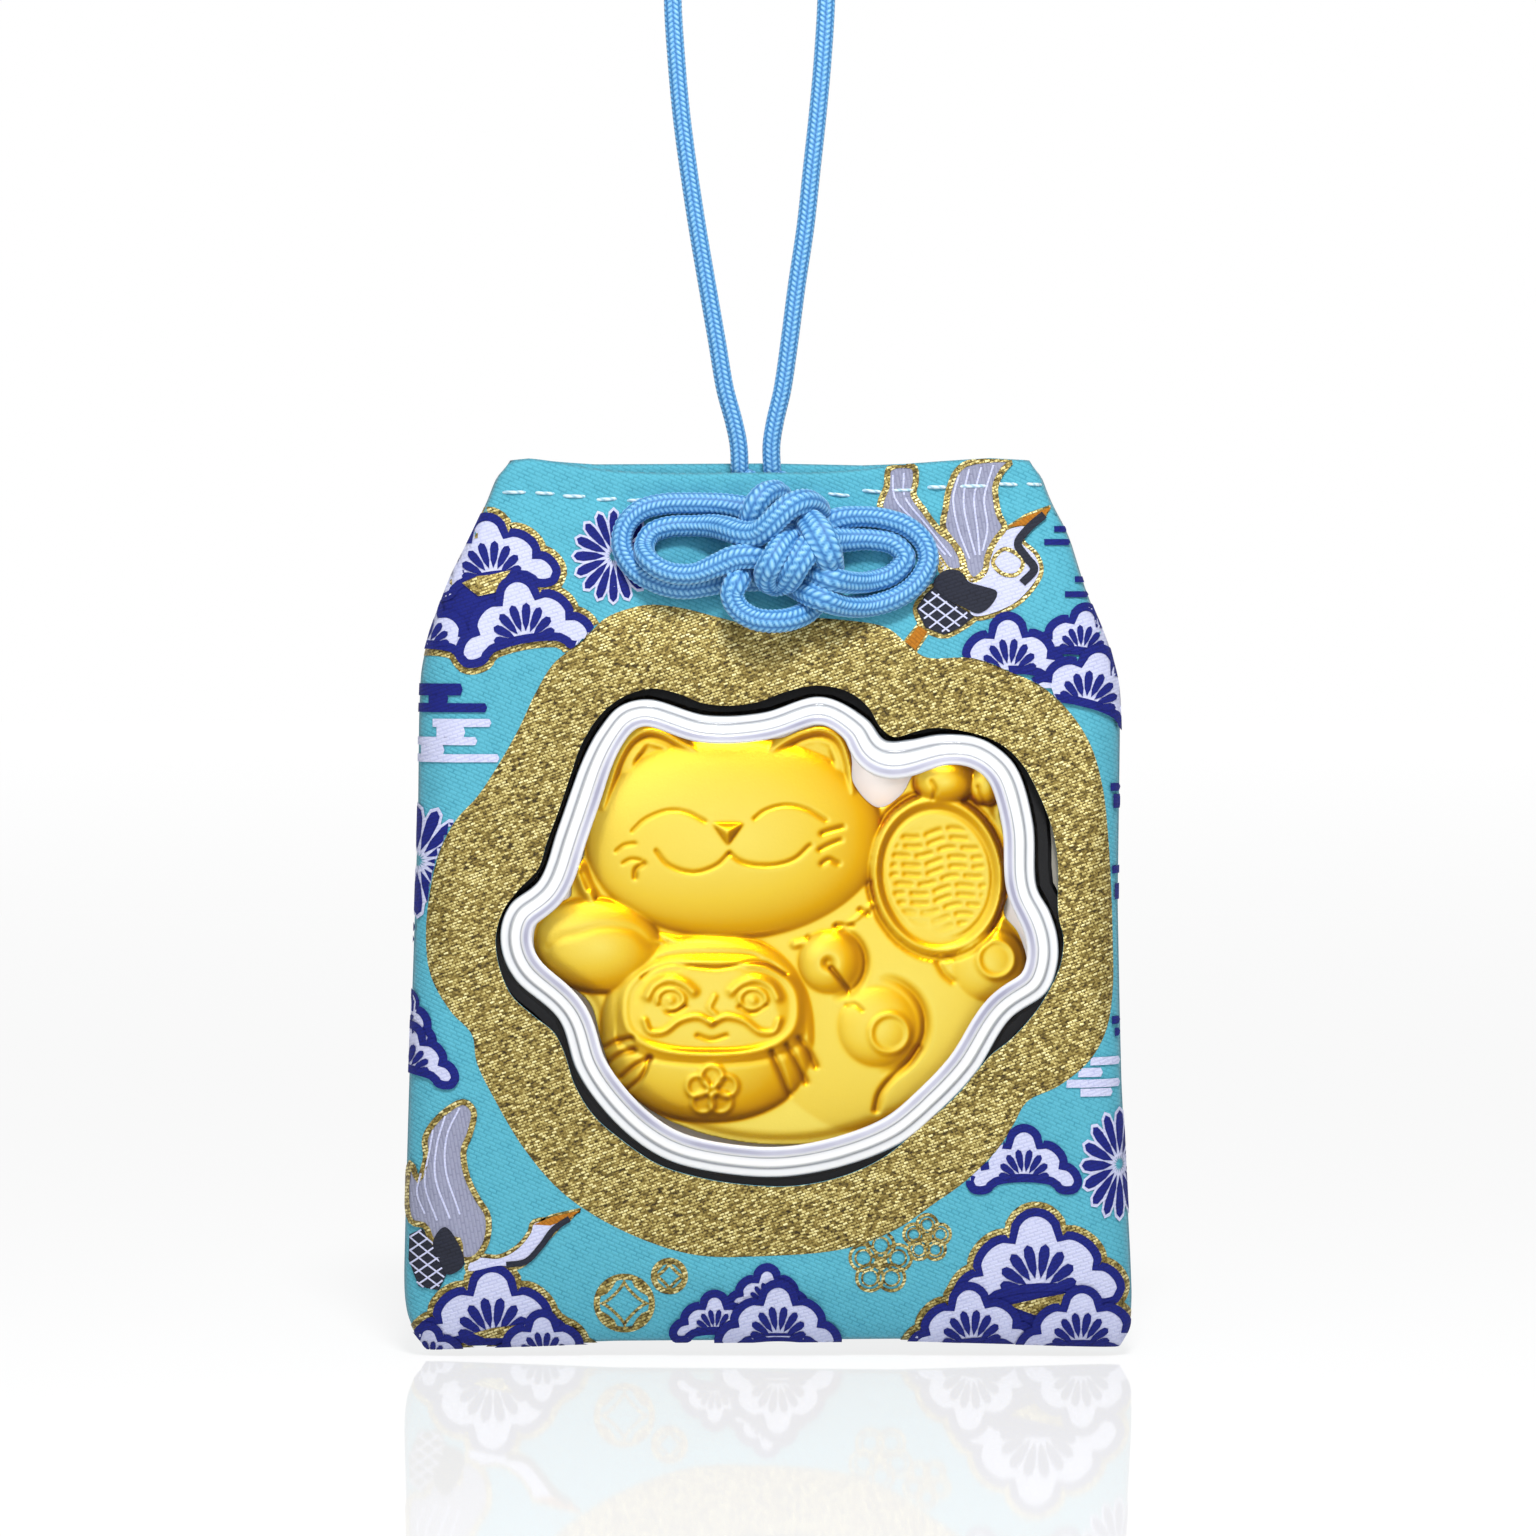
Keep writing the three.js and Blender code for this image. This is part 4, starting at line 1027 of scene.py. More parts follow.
def turned_axes(px, py, x, y, tilt):
    """Places across and along a shape that is turned about its centre"""
    turn = math.radians(tilt)
    across = (px - x) * math.cos(turn) - (py - y) * math.sin(turn)
    along = (px - x) * math.sin(turn) + (py - y) * math.cos(turn)
    return across, along


def oval(px, py, x, y, half_width, half_height, tilt=0, power=2):
    """Distance from an oval's centre as a share of its edge"""
    across, along = turned_axes(px, py, x, y, tilt)
    return (np.abs(across / half_width) ** power + np.abs(along / half_height) ** power) ** (1 / power)


def raised(height, px, py, part, power=2):
    """A height map with a rounded part standing on it"""
    place, base, rise, fullness = part
    share = oval(px, py, *place, power=power)
    inside = np.clip(1 - np.clip(share, 0, 1) ** fullness, 0, 1) ** (1 / 2.1)
    return np.maximum(height, np.where(share < 1, base + rise * inside, OUTSIDE))


def away_from(px, py, points):
    """Distance to a line of points"""
    nearest = np.full(np.shape(px), 1e9)
    for (x1, y1), (x2, y2) in zip(points, points[1:]):
        run = np.array([x2 - x1, y2 - y1], float)
        share = np.clip(((px - x1) * run[0] + (py - y1) * run[1]) / max(run @ run, 1e-6), 0, 1)
        nearest = np.minimum(nearest, np.hypot(px - x1 - share * run[0], py - y1 - share * run[1]))
    return nearest


def ridge(away, width):
    """A rounded ridge: 1 on its line and 0 away from it"""
    return np.exp(-((away / width) ** 2))


def line_height(px, py, points, width):
    curve = smooth_curve(points, 8 * len(points)) if len(points) > 2 else points
    return ridge(away_from(px, py, curve), width)


def dot_height(px, py, x, y, radius):
    return ridge(np.hypot(px - x, py - y), radius)


# Rounded parts: an oval in pixels, that is its centre, half width, half height and tilt in degrees, then
# the height of its edge, its rise, and how full its round is
HEAD = ((734, 836, 148, 101), 0.3, 1.4, 2.15)
HOLDING_PAW = ((600, 944, 64, 48, -8), 0.3, 1.15, 2.1)
INNER_FOOT = ((878, 1023, 44, 45), 0.55, 0.85, 2.3)
OUTER_FOOT = ((985, 964, 40, 40), 0.5, 0.75, 2.2)
BELL = ((830, 961, 33, 34), 0.45, 1, 2.1)
DOLL = ((711, 1026, 110, 95), 0.25, 1.55, 2.1)
# The toes of the raised paw, over the coin
TOES = [((985, 784, 18, 20), 0.5, 0.9, 2.1), ((944, 781, 31, 23), 0.5, 1.15, 2.1)]
LEFT_EAR_INSIDE = ((652, 768, 36, 32), 0.5, 0.35, 4)
RIGHT_EAR_INSIDE = ((818, 768, 36, 32), 0.5, 0.35, 4)
# Other ovals and places, in pixels
BODY = (900, 1000, 150, 140)
INNER_PAD = (889, 1031, 19, 19)
OUTER_PAD = (995, 957, 18, 18)
FOIL_COIN = (937, 874, 67, 81)
FOIL_COIN_TILT = 8
DOLL_FACE = (711, 1006, 83, 44)
DOLL_EYES = [(671, 997), (753, 997)]
DOLL_FLOWER = (712, 1088)
BELL_HOLE = (828, 961)
NOSE = (728, 831)
LEFT_EAR = [(604, 806), (611, 784), (620, 758), (633, 738), (648, 730), (664, 733), (684, 744), (700, 752)]
LEFT_EAR_HOLLOW = [(622, 792), (636, 760), (648, 743), (672, 751), (650, 766)]
RIGHT_EAR = [(768, 752), (786, 740), (804, 732), (822, 729), (838, 737), (847, 757), (852, 792)]
RIGHT_EAR_HOLLOW = [(797, 745), (818, 740), (829, 745), (838, 776), (820, 760)]
# Lines: their points, width, and how far they stand up or, below zero, are pressed in
FACE_LINES = [
    (((633, 830), (646, 818), (670, 809), (688, 811), (706, 820)), 1.7, -0.12),
    (((755, 817), (766, 809), (786, 804), (807, 808), (826, 819)), 1.7, -0.12),
    (((657, 849), (669, 863), (694, 871), (717, 864), (730, 852)), 1.8, -0.13),
    (((730, 852), (744, 861), (771, 864), (794, 858), (810, 844)), 1.8, -0.13),
    (((617, 850), (625, 844), (636, 842)), 1.8, -0.13), (((624, 862), (632, 858), (641, 859)), 1.8, -0.13),
    (((636, 876), (637, 868), (645, 862)), 2.4, -0.18), (((822, 832), (831, 829), (842, 826)), 2.4, -0.16),
    (((820, 848), (830, 843), (840, 839)), 2.2, -0.15), (((822, 862), (829, 858), (838, 862)), 2.2, -0.15),
]
DOLL_LINES = [
    (((643, 975), (655, 967), (674, 962), (717, 966), (752, 960), (768, 961), (786, 972)), 2, -0.15),
    (((648, 994), (655, 983), (668, 977), (684, 981), (694, 989)), 4.2, 0.2),
    (((732, 989), (742, 981), (757, 977), (771, 983), (778, 995)), 4.2, 0.2),
    (((660, 1003), (672, 1010), (686, 1004)), 2.2, -0.16),
    (((740, 1004), (753, 1010), (766, 1003)), 2.2, -0.16),
    (((645, 1018), (650, 1029), (664, 1029), (680, 1018), (698, 1014), (712, 1020)), 2.8, 0.16),
    (((712, 1020), (726, 1014), (744, 1018), (760, 1029), (774, 1029), (779, 1018)), 2.8, 0.16),
    (((698, 1033), (712, 1037), (727, 1033)), 2, -0.13),
    (((715, 994), (710, 1006), (715, 1011)), 2.4, 0.1),
    (((606, 1046), (618, 1040), (632, 1036)), 3, -0.26), (((608, 1062), (622, 1052), (634, 1048)), 3, -0.24),
    (((622, 1076), (636, 1064), (650, 1056)), 3, -0.24), (((650, 1056), (643, 1074), (626, 1090)), 2.2, -0.2),
    (((772, 1050), (780, 1068), (789, 1092)), 3, -0.26), (((787, 1043), (796, 1058), (806, 1080)), 3, -0.24),
    (((799, 1036), (808, 1048), (816, 1064)), 3, -0.24),
]
BODY_LINES = [
    (((549, 945), (562, 936), (580, 931), (604, 925), (634, 929), (652, 944)), 4.6, -0.09),
    (((930, 780), (934, 788), (932, 797)), 2.2, -0.16), (((976, 786), (978, 795), (982, 802)), 2.2, -0.16),
    (((846, 1003), (854, 1002), (862, 1008)), 2, -0.12),
    (((918, 1046), (908, 1062), (892, 1076), (880, 1092), (876, 1108)), 3.4, -0.2),
    (((831, 966), (839, 976), (848, 988)), 2.2, -0.32),
    (((938, 962), (944, 972), (952, 979)), 3, -0.14),
]
COLLAR_LINES = [
    (((580, 868), (588, 889), (602, 908), (622, 924), (650, 936), (690, 944)), 6.5, 0.5),
    (((795, 943), (826, 934), (850, 921), (872, 903)), 6.5, 0.5),
]
COLLAR_TWISTS = [(582, 872), (589, 888), (597, 897), (609, 912), (622, 917), (640, 933), (655, 934),
                 (674, 944), (808, 936), (822, 937), (836, 924), (852, 924), (860, 908), (868, 912)]


def eased(values, times):
    """A height map with its sharpest edges eased"""
    for _ in range(times):
        padded = np.pad(values, 1, mode="edge")
        values = (padded[:-2, 1:-1] + padded[2:, 1:-1] + padded[1:-1, :-2] + padded[1:-1, 2:]
                  + 4 * values) / 8
    return values


def coin_height(px, py):
    """An old oval coin: a double rim round a slightly hollow face with rows of chisel marks"""
    share = oval(px, py, *FOIL_COIN, tilt=FOIL_COIN_TILT)
    face = np.where(share < 1, 0.95 - 0.12 * (1 - share ** 2), OUTSIDE)
    face = face + 0.22 * ridge(share - 0.92, 0.045) - 0.1 * ridge(share - 0.81, 0.03)
    across, along = turned_axes(px, py, *FOIL_COIN[:2], FOIL_COIN_TILT)
    row_pitch, mark_pitch, lowest_row = 9.5, 23, -48
    row = (along + 2.2 * np.sin(across / 9)) / row_pitch
    staggered = (across + 11 * np.sin(7.3 * np.floor(row))) / mark_pitch
    mark = ridge(row - np.floor(row) - 0.5, 0.2)
    mark = mark * np.clip((0.42 - np.abs(staggered - np.floor(staggered) - 0.5)) / 0.06, 0, 1)
    field = (share < 0.7) & (along > lowest_row)
    return face - np.where(field, 0.1 * mark, 0), share


def with_ears(height, px, py):
    """Two ears, each with a rounded inside, a raised edge and a hollow that slopes down"""
    edge_foot, edge_rise, edge_width = 0.4, 0.66, 6.5
    hollow_height, hollow_slope, hollow_top = 0.62, 0.004, 760
    for edge, hollow, inside in ((LEFT_EAR, LEFT_EAR_HOLLOW, LEFT_EAR_INSIDE),
                                 (RIGHT_EAR, RIGHT_EAR_HOLLOW, RIGHT_EAR_INSIDE)):
        height = raised(height, px, py, inside)
        height = np.maximum(height, edge_foot + edge_rise * line_height(px, py, edge, edge_width))
        sunk = inside_of(np.array(hollow, float), px, py)
        height = np.where(sunk, hollow_height - hollow_slope * (py - hollow_top), height)
    return height


def with_collar(height, px, py):
    """A collar of two twisted strands"""
    foot, twist_depth, twist_width = 0.4, 0.22, 2.2
    for points, width, rise in COLLAR_LINES:
        height = np.maximum(height, foot + rise * line_height(px, py, points, width))
    for start, end in zip(COLLAR_TWISTS[::2], COLLAR_TWISTS[1::2]):
        height = height - twist_depth * line_height(px, py, [start, end], twist_width)
    return height


def with_feet_and_bell(height, px, py):
    """The paw that holds the doll, a foot with its pad, and the bell, with a groove at the right of both"""
    height = raised(height, px, py, HOLDING_PAW)
    height = raised(height, px, py, INNER_FOOT)
    height += 0.12 * ridge(oval(px, py, *INNER_PAD) - 1, 0.14)
    height = raised(height, px, py, BELL)
    height -= 0.34 * dot_height(px, py, *BELL_HOLE, 5.5)
    height += 0.1 * dot_height(px, py, *BELL_HOLE, 2.2)
    groove_depth, groove_width = 0.3, 0.09
    for (x, y, _, radius), *_ in (INNER_FOOT, BELL):
        rightwards = np.clip((px - x) / radius, 0, 1)
        groove = ridge(np.hypot(px - x, py - y) / radius - 1.04, groove_width)
        height -= groove_depth * rightwards * groove
    return height


def with_coin(height, px, py):
    """The coin, a groove round it, and the toes that hold it"""
    groove_end, groove_depth = 1.07, 0.14
    coin, share = coin_height(px, py)
    height = np.maximum(height, coin)
    height = np.where((share > 1) & (share < groove_end), height - groove_depth, height)
    for toe in TOES:
        height = raised(height, px, py, toe)
    return height


def with_doll(height, px, py):
    """A round doll with a flat face in a raised rim"""
    squareness, face_squareness, face_height, face_swell = 2.15, 2.6, 1.46, 0.08
    height = raised(height, px, py, DOLL, squareness)
    within = oval(px, py, *DOLL[0], power=squareness) < 0.86
    face = oval(px, py, *DOLL_FACE, power=face_squareness)
    flat = np.clip((1 - face) / 0.1, 0, 1)
    level = np.minimum(height, face_height + face_swell * (1 - face ** 2))
    height = height * (1 - flat) + flat * level
    return height + 0.17 * ridge(face - 1.04, 0.06) - 0.12 * ridge(face - 1.24, 0.06) * within


def with_nose(height, px, py):
    """A small nose, broad at its top and pointed below"""
    across, along = np.abs(px - NOSE[0]), py - NOSE[1]
    half_width, top, drop = 15, 9, 21
    nose = np.maximum(-along / top, (across / half_width + (along + top) / drop - 0.3) / 0.7)
    return height + 0.55 * np.clip(1 - nose, 0, 1) ** 0.7


def with_doll_marks(height, px, py):
    """The doll's eyes, and the five round petals below its face"""
    for x, y in DOLL_EYES:
        height += 0.13 * ridge(oval(px, py, x, y, 13, 10.5) - 1, 0.2)
        height += 0.12 * dot_height(px, py, x, y + 1, 5)
    x, y = DOLL_FLOWER
    reach, radius, petals = 15, 10.5, 5
    for at in range(petals):
        angle = math.radians(90 + 360 / petals * at)
        leaf = oval(px, py, x + reach * math.cos(angle), y - reach * math.sin(angle), radius, radius)
        height += 0.13 * ridge(leaf - 1, 0.24)
    return height + 0.16 * dot_height(px, py, x, y, 5)


def relief_height(px, py):
    """Height of the foil over its plate"""
    rim_width, rim_foot, rim_rise, body_rise = 15, 0.06, 0.44, 0.55
    outline = smooth_curve(FOIL_PIXELS, 360, closed=True)
    edge = away_from(px, py, np.vstack([outline, outline[:1]]))
    into = np.clip(edge / rim_width, 0, 1)
    height = rim_foot + rim_rise * np.sqrt(1 - (1 - into) ** 2)
    height += body_rise * np.clip(1 - oval(px, py, *BODY) ** 2, 0, 1)
    height = with_ears(height, px, py)
    height = raised(height, px, py, OUTER_FOOT)
    height += 0.13 * ridge(oval(px, py, *OUTER_PAD) - 1, 0.15)
    height = with_collar(height, px, py)
    height = with_feet_and_bell(height, px, py)
    height = with_coin(height, px, py)
    height = with_doll(height, px, py)
    height = raised(height, px, py, HEAD, power=2.15)
    height = with_nose(eased(height, 2), px, py)
    for points, width, rise in FACE_LINES + DOLL_LINES + BODY_LINES:
        height += rise * line_height(px, py, points, width)
    height = with_doll_marks(height, px, py)
    return np.clip(eased(height, 1), LEAST_RELIEF, MOST_RELIEF)


def facing_share(part, slope):
    """How much of a slope goes one way, and none of it on level ground"""
    return np.clip(part / (slope + 0.05), -1, 1)


def painted_relief_shade(height, step):
    """Painted shade for the foil, drawn as amber: on slopes and in hollows, least where slopes face up and
    left, as if lit from there
    """
    down, right = np.gradient(eased(height, 2), step)
    slope = np.hypot(down, right)
    facing_up = np.clip(facing_share(down, slope), 0, 1)
    # Slopes facing right get more painted shade, and slopes facing up get less
    facing_shade = 0.66 + 0.5 * facing_share(-right, slope) - 0.34 * facing_up
    slope_shade = 0.86 * (1 - np.exp(-3.8 * slope * facing_shade))
    hollow = np.clip(eased(height, 90) - height, 0, 0.35) / 0.35
    small_hollow_shade = np.clip(eased(height, 6) - height, 0, 0.05) / 0.05
    return np.clip(slope_shade + 0.22 * hollow + 0.28 * small_hollow_shade, 0, 1)


def make_foil():
    """The stamped foil, cut along its outline, with its edge turned down to its back"""
    across = np.linspace(FOIL_LEFT, FOIL_RIGHT, FOIL_COLUMNS + 1)
    downward = np.linspace(FOIL_TOP, FOIL_FOOT, FOIL_ROWS + 1)
    px, py = np.meshgrid(across, downward)
    height = relief_height(px, py)
    # Painted shade at each point of the relief, kept on the foil for its amber
    painted_shade_map = painted_relief_shade(height, (FOIL_RIGHT - FOIL_LEFT) / FOIL_COLUMNS * PIXEL)
    # The turned-down edge gets a fixed painted shade
    edge_painted_shade = 0.7
    painted_shades = []

    def form(share, down):
        column = np.rint(share * FOIL_COLUMNS).astype(int)
        row = np.rint(down * FOIL_ROWS).astype(int)
        x, drop = from_photo(np.stack([px[row, column], py[row, column]], axis=1)).T
        painted_shades.append(painted_shade_map[row, column])
        return np.stack([x, -PLATE_FACE - height[row, column], -drop], axis=1)

    made = sheet(FOIL_COLUMNS, FOIL_ROWS, form)
    layer = made.verts.layers.float.new("painted_foil_shade")
    for vertex, value in zip(made.verts, painted_shades[0]):
        vertex[layer] = value
    outline = smooth_curve(from_photo(FOIL_PIXELS), 500, closed=True)
    trim(made, outline, keep_inside=True)
    rim = [edge for edge in made.edges if edge.is_boundary]
    pulled = bmesh.ops.extrude_edge_only(made, edges=rim)["geom"]
    for part in pulled:
        if isinstance(part, bmesh.types.BMVert):
            part.co.y = -FOIL_BACK
            part[layer] = edge_painted_shade
    bmesh.ops.recalc_face_normals(made, faces=made.faces)
    turn_out(made, -1)
    settle(made, "gold_foil_relief", FOIL, replaced=["gold_relief"])


# Hem stitches: start and end of each, in pixels of the photograph

STITCH_PIXELS = [
    (503, 528, 493), (536, 556, 494), (563, 587, 497), (597, 618, 500), (627, 651, 501), (660, 683, 502),
    (693, 716, 502), (726, 752, 502), (762, 787, 500), (796, 819, 498), (827, 850, 495.5),
    (861, 882, 492), (890, 917, 491), (926, 947, 488), (956, 988, 487), (995, 1017, 485),
    (1025, 1041, 485),
]
# Rows of stitches: place, side of the pouch, and the first and last of the stitches above
HEM_ROWS = [("left", -1, 0, 8), ("right", -1, 8, 17), ("back", 1, 0, 17)]


def make_stitches():
    """Running stitches along the hem, each a little uneven, with its ends sunk in the cloth"""
    shares = np.linspace(0, 1, 17)
    sunk, crown = 0.16, 0.26
    for place, side, first, last in HEM_ROWS:
        whole = bmesh.new()
        for x1, x2, height in STITCH_PIXELS[first:last]:
            (left, drop), (right, _) = from_photo([(x1, height), (x2, height)])
            x = left + (right - left) * shares
            falls = drop + 0.1 * (shares - 0.5) * random.uniform(-1, 2)
            rise = crown * np.sin(math.pi * shares) ** 0.5 - sunk
            depth = face_depth(x, falls, side) + rise
            line = np.stack([x, side * depth, -falls], axis=1)
            made = thin_thread(line, STITCH_THICKNESS / 2 * random.uniform(0.88, 1.1))
            mesh = bpy.data.meshes.new("stitch")
            made.to_mesh(mesh)
            made.free()
            whole.from_mesh(mesh)
            bpy.data.meshes.remove(mesh)
        settle(whole, "hem_stitches_" + place, THREAD, replaced=["hem_thread_" + place])


# Woven figures, in pixels of the photograph

# How far each thread stands off the cloth, in millimetres, so that no two lie at one height: under all
# of them a clearance, and above them one level more for each figure that lies under a figure
WEFT_CLEAR = 0.045
GOLD_LIFT, HEART_LIFT, PALE_LIFT, NAVY_LIFT, STROKE_LIFT = 0, 0.034, 0.064, 0.09, 0.115
DIAMOND_LIFT = 0.135
BODY_LIFT = 0.114
NECK_LIFT = 0.094
RUMP_LIFT = 0.175
STRIPE_LIFT = 0.195
RISING_RUMP_LIFT = 0.155
RISING_STRIPE_LIFT = 0.165
LEVEL_LIFT = 0.075
# Widths of lines, in pixels
GROUP_EDGE = 21
PINE_EDGE = 8.5
WING_EDGE = 6
QUILL = 1.9
SCALE_EDGE = 1.7
SCALE_PITCH = 13
BODY_EDGE, NECK_EDGE, TAIL_EDGE, LEG_EDGE = 9, 8, 7, 5
NECK_HOLE_EDGE = 4
STRIPE_WIDTH, RISING_STRIPE_WIDTH = 8, 6
COIN_EDGE, COIN_EDGE_INSET, HOLE_LINE = 6, 2.5, 3
PETAL_EDGE, PETAL_LINE = 3.2, 2
# Centre, half width, tilt, gold outline or not, and how many figures lie under it
PINES = [
    (495, 580, 64, 8, True, 0), (430, 648, 50, 0, True, 1), (528, 643, 66, 10, True, 2),
    (1078, 654, 48, -8, False, 0), (1007, 673, 58, 2, False, 1), (1082, 706, 60, -16, False, 2),
    (398, 1028, 40, -20, False, 0), (410, 1070, 48, -5, False, 1), (1022, 1177, 54, 0, False, 0),
    (430, 1362, 40, 0, True, 1), (543, 1358, 50, 0, True, 1), (494, 1338, 76, 0, True, 0),
    (767, 1300, 38, 0, False, 0), (715, 1330, 42, 0, False, 1), (778, 1337, 60, 0, False, 2),
    (1037, 1288, 82, 3, True, 0), (972, 1343, 63, 5, True, 1), (1080, 1344, 61, 0, True, 2),
]
BACK_PINES = [
    (480, 600, 66, 6, True, 0), (545, 655, 60, -4, True, 1), (1030, 640, 64, -8, True, 0),
    (760, 720, 70, 4, False, 0), (830, 770, 62, -6, False, 1), (520, 930, 72, 8, True, 0),
    (1010, 950, 66, 0, False, 0), (950, 1010, 58, 10, False, 1), (700, 1080, 74, -6, True, 0),
    (470, 1210, 62, 0, False, 0), (1040, 1230, 78, -4, True, 0), (620, 1320, 66, 4, False, 0),
    (860, 1290, 70, 0, True, 0),
]
# Corners of a pine with y upwards, in shares of its half width, and how far each side bows out
PINE_OUTLINE = [
    (-0.62, -0.08, 0.08), (-0.96, -0.1, 0.13), (-0.7, 0.26, 0.17), (-0.29, 0.64, 0.34),
    (0.29, 0.64, 0.17), (0.7, 0.26, 0.13), (0.96, -0.1, 0.08), (0.62, -0.08, -0.14),
]
# Centre, half width and half height
CHRYSANTHEMUMS = [(614.7, 557, 40, 46), (419.6, 859.5, 55, 55), (1117, 1161.5, 38, 54)]
BACK_CHRYSANTHEMUMS = [(620, 820, 46, 46), (900, 1130, 44, 44), (950, 790, 40, 40)]
# Gold patches between the pines of a group, and the navy under them
DIAMONDS = [
    [(465, 584), (480, 577), (491, 576), (513, 571), (498, 593), (481, 597)],
    [(1007, 1301), (1034, 1295), (1064, 1289), (1054, 1312), (1033, 1311)],
    [(474, 1330), (492, 1325), (519, 1321), (503, 1335), (485, 1335)],
]
GROUP_HEARTS = [
    [(434, 588), (452, 572), (480, 556), (520, 556), (548, 572), (536, 592), (500, 606), (470, 632),
     (448, 622)],
    [(980, 1288), (1000, 1276), (1080, 1276), (1102, 1290), (1090, 1312), (1040, 1342), (1012, 1342),
     (984, 1312)],
    [(442, 1326), (462, 1312), (530, 1310), (548, 1322), (530, 1344), (468, 1344)],
]
WING_RIGHT = [
    (952, 544), (942, 528), (945, 507), (949, 487), (956, 472), (967, 464), (1009, 462), (1001, 472),
    (994, 487), (995, 505), (998, 517), (1003, 528), (994, 541), (986, 557), (983, 572), (971, 581),
    (962, 569), (959, 554),
]
WING_LEFT = [
    (880, 510), (886, 487), (889, 469), (913, 468), (915, 481), (913, 496), (924, 513), (939, 532),
    (952, 544), (962, 569), (948, 572), (936, 557), (918, 530), (898, 516),
]
WING_RIGHT_QUILLS = [
    [(958, 476), (952, 500), (957, 530), (968, 560)], [(968, 470), (962, 500), (967, 530), (974, 556)],
    [(980, 468), (973, 500), (976, 530), (978, 556)], [(992, 466), (983, 500), (986, 530), (981, 552)],
]
WING_LEFT_QUILLS = [
    [(892, 476), (894, 500), (914, 522), (944, 556)], [(903, 474), (904, 498), (924, 524), (950, 558)],
]
CRANE_BODY = [
    (936, 557), (948, 572), (965, 581), (983, 572), (992, 551), (996, 540), (1006, 531), (1024, 528),
    (1018, 541), (1033, 557), (1037, 572), (1024, 593), (1006, 607), (971, 616), (965, 604), (942, 572),
]
CRANE_RUMP = [(932, 584), (942, 572), (957, 572), (967, 583), (980, 587), (995, 593), (988, 607),
              (976, 614), (962, 608), (948, 601)]
CRANE_TAIL = [(915, 609), (924, 595), (933, 587), (948, 601), (962, 610), (973, 616), (959, 628),
              (942, 635), (924, 628)]
CRANE_LEGS = [(904, 642), (917, 626), (926, 632), (914, 650)]
CRANE_BEAK = [(1006, 528), (1025, 517), (1049, 508), (1042, 518), (1025, 526)]
CRANE_STRIPE = [(1042, 516), (1026, 530), (1016, 545), (1024, 558), (1032, 570), (1020, 584)]
NECK_HOLE = [(991, 563), (1003, 550), (1021, 562), (1015, 575), (1001, 575)]
RISING_WING = [
    (421, 1177), (429, 1155), (428, 1136), (434, 1123), (449, 1107), (466, 1098), (476, 1107),
    (472, 1130), (466, 1146), (469, 1171), (479, 1193), (490, 1212), (488, 1238), (476, 1254),
    (464, 1254), (460, 1235), (437, 1238), (428, 1222), (414, 1219), (409, 1187), (414, 1160),
]
RISING_QUILLS = [
    [(462, 1104), (450, 1130), (448, 1165), (462, 1210)],
    [(448, 1112), (440, 1140), (438, 1172), (452, 1214)],
    [(436, 1126), (432, 1150), (428, 1180), (440, 1216)], [(424, 1170), (420, 1190), (428, 1210)],
]
RISING_RUMP = [(436, 1238), (447, 1222), (460, 1238), (466, 1260), (450, 1270), (441, 1254)]
RISING_TAIL = [(412, 1232), (425, 1225), (437, 1238), (450, 1267), (441, 1286), (421, 1283),
               (411, 1257)]
RISING_NECK = [(476, 1254), (501, 1254), (520, 1244), (533, 1228), (536, 1219), (559, 1219),
               (546, 1235), (530, 1254), (517, 1262), (501, 1261), (470, 1266)]
RISING_STRIPE = [(571, 1214), (555, 1225), (543, 1241), (527, 1257), (508, 1260)]
RISING_BEAK = [(535, 1220), (555, 1212), (582, 1206), (571, 1214), (552, 1221)]
# Rows of mist: start, end and level of each, with its thickness
NAVY_MIST = [(418, 466, 689, 12), (432, 452, 698, 12), (418, 490, 707, 9), (1042, 1068, 543, 6),
             (1052, 1066, 530, 6), (1062, 1086, 595, 6), (1072, 1084, 580, 6), (1107, 1118, 786, 8),
             (1110, 1119, 800, 14), (1109, 1119, 868, 8), (1112, 1119, 890, 16), (1109, 1118, 1018, 8),
             (1112, 1118, 1030, 8), (410, 418, 926, 9), (412, 417, 938, 8)]
PALE_MIST = [(436, 494, 722, 8), (440, 468, 731, 12), (418, 480, 740, 8), (424, 448, 749, 12),
             (418, 502, 757, 8), (1080, 1118, 1058, 8), (1070, 1100, 1069, 9), (1064, 1118, 1080, 8),
             (1078, 1110, 1089, 8)]
# Centre and radius
COINS = [(625, 1300, 30), (670, 1272, 18)]
PLUMS = [(880, 1259, 33), (926, 1234, 25)]


def bowed(corners):
    """A closed outline whose sides bow outwards, each by its own rise"""
    outline = []
    for (x1, y1, rise), (x2, y2, _) in zip(corners, corners[1:] + corners[:1]):
        start, run = np.array([x1, y1]), np.array([x2 - x1, y2 - y1])
        shares = np.linspace(0, 1, 13)[:-1, None]
        lift = rise * np.sqrt(4 * shares * (1 - shares))
        outline.append(start + run * shares + np.array([-run[1], run[0]]) / np.hypot(*run) * lift)
    return np.vstack(outline)


def turned(points, centre, scale, tilt=0):
    """Points drawn about a centre with y upwards, as pixels"""
    angle = math.radians(tilt)
    x, y = np.array(points, float).T * np.broadcast_to(scale, 2)[:, None]
    across = x * math.cos(angle) - y * math.sin(angle)
    upward = x * math.sin(angle) + y * math.cos(angle)
    return np.stack([centre[0] + across, centre[1] - upward], axis=1)


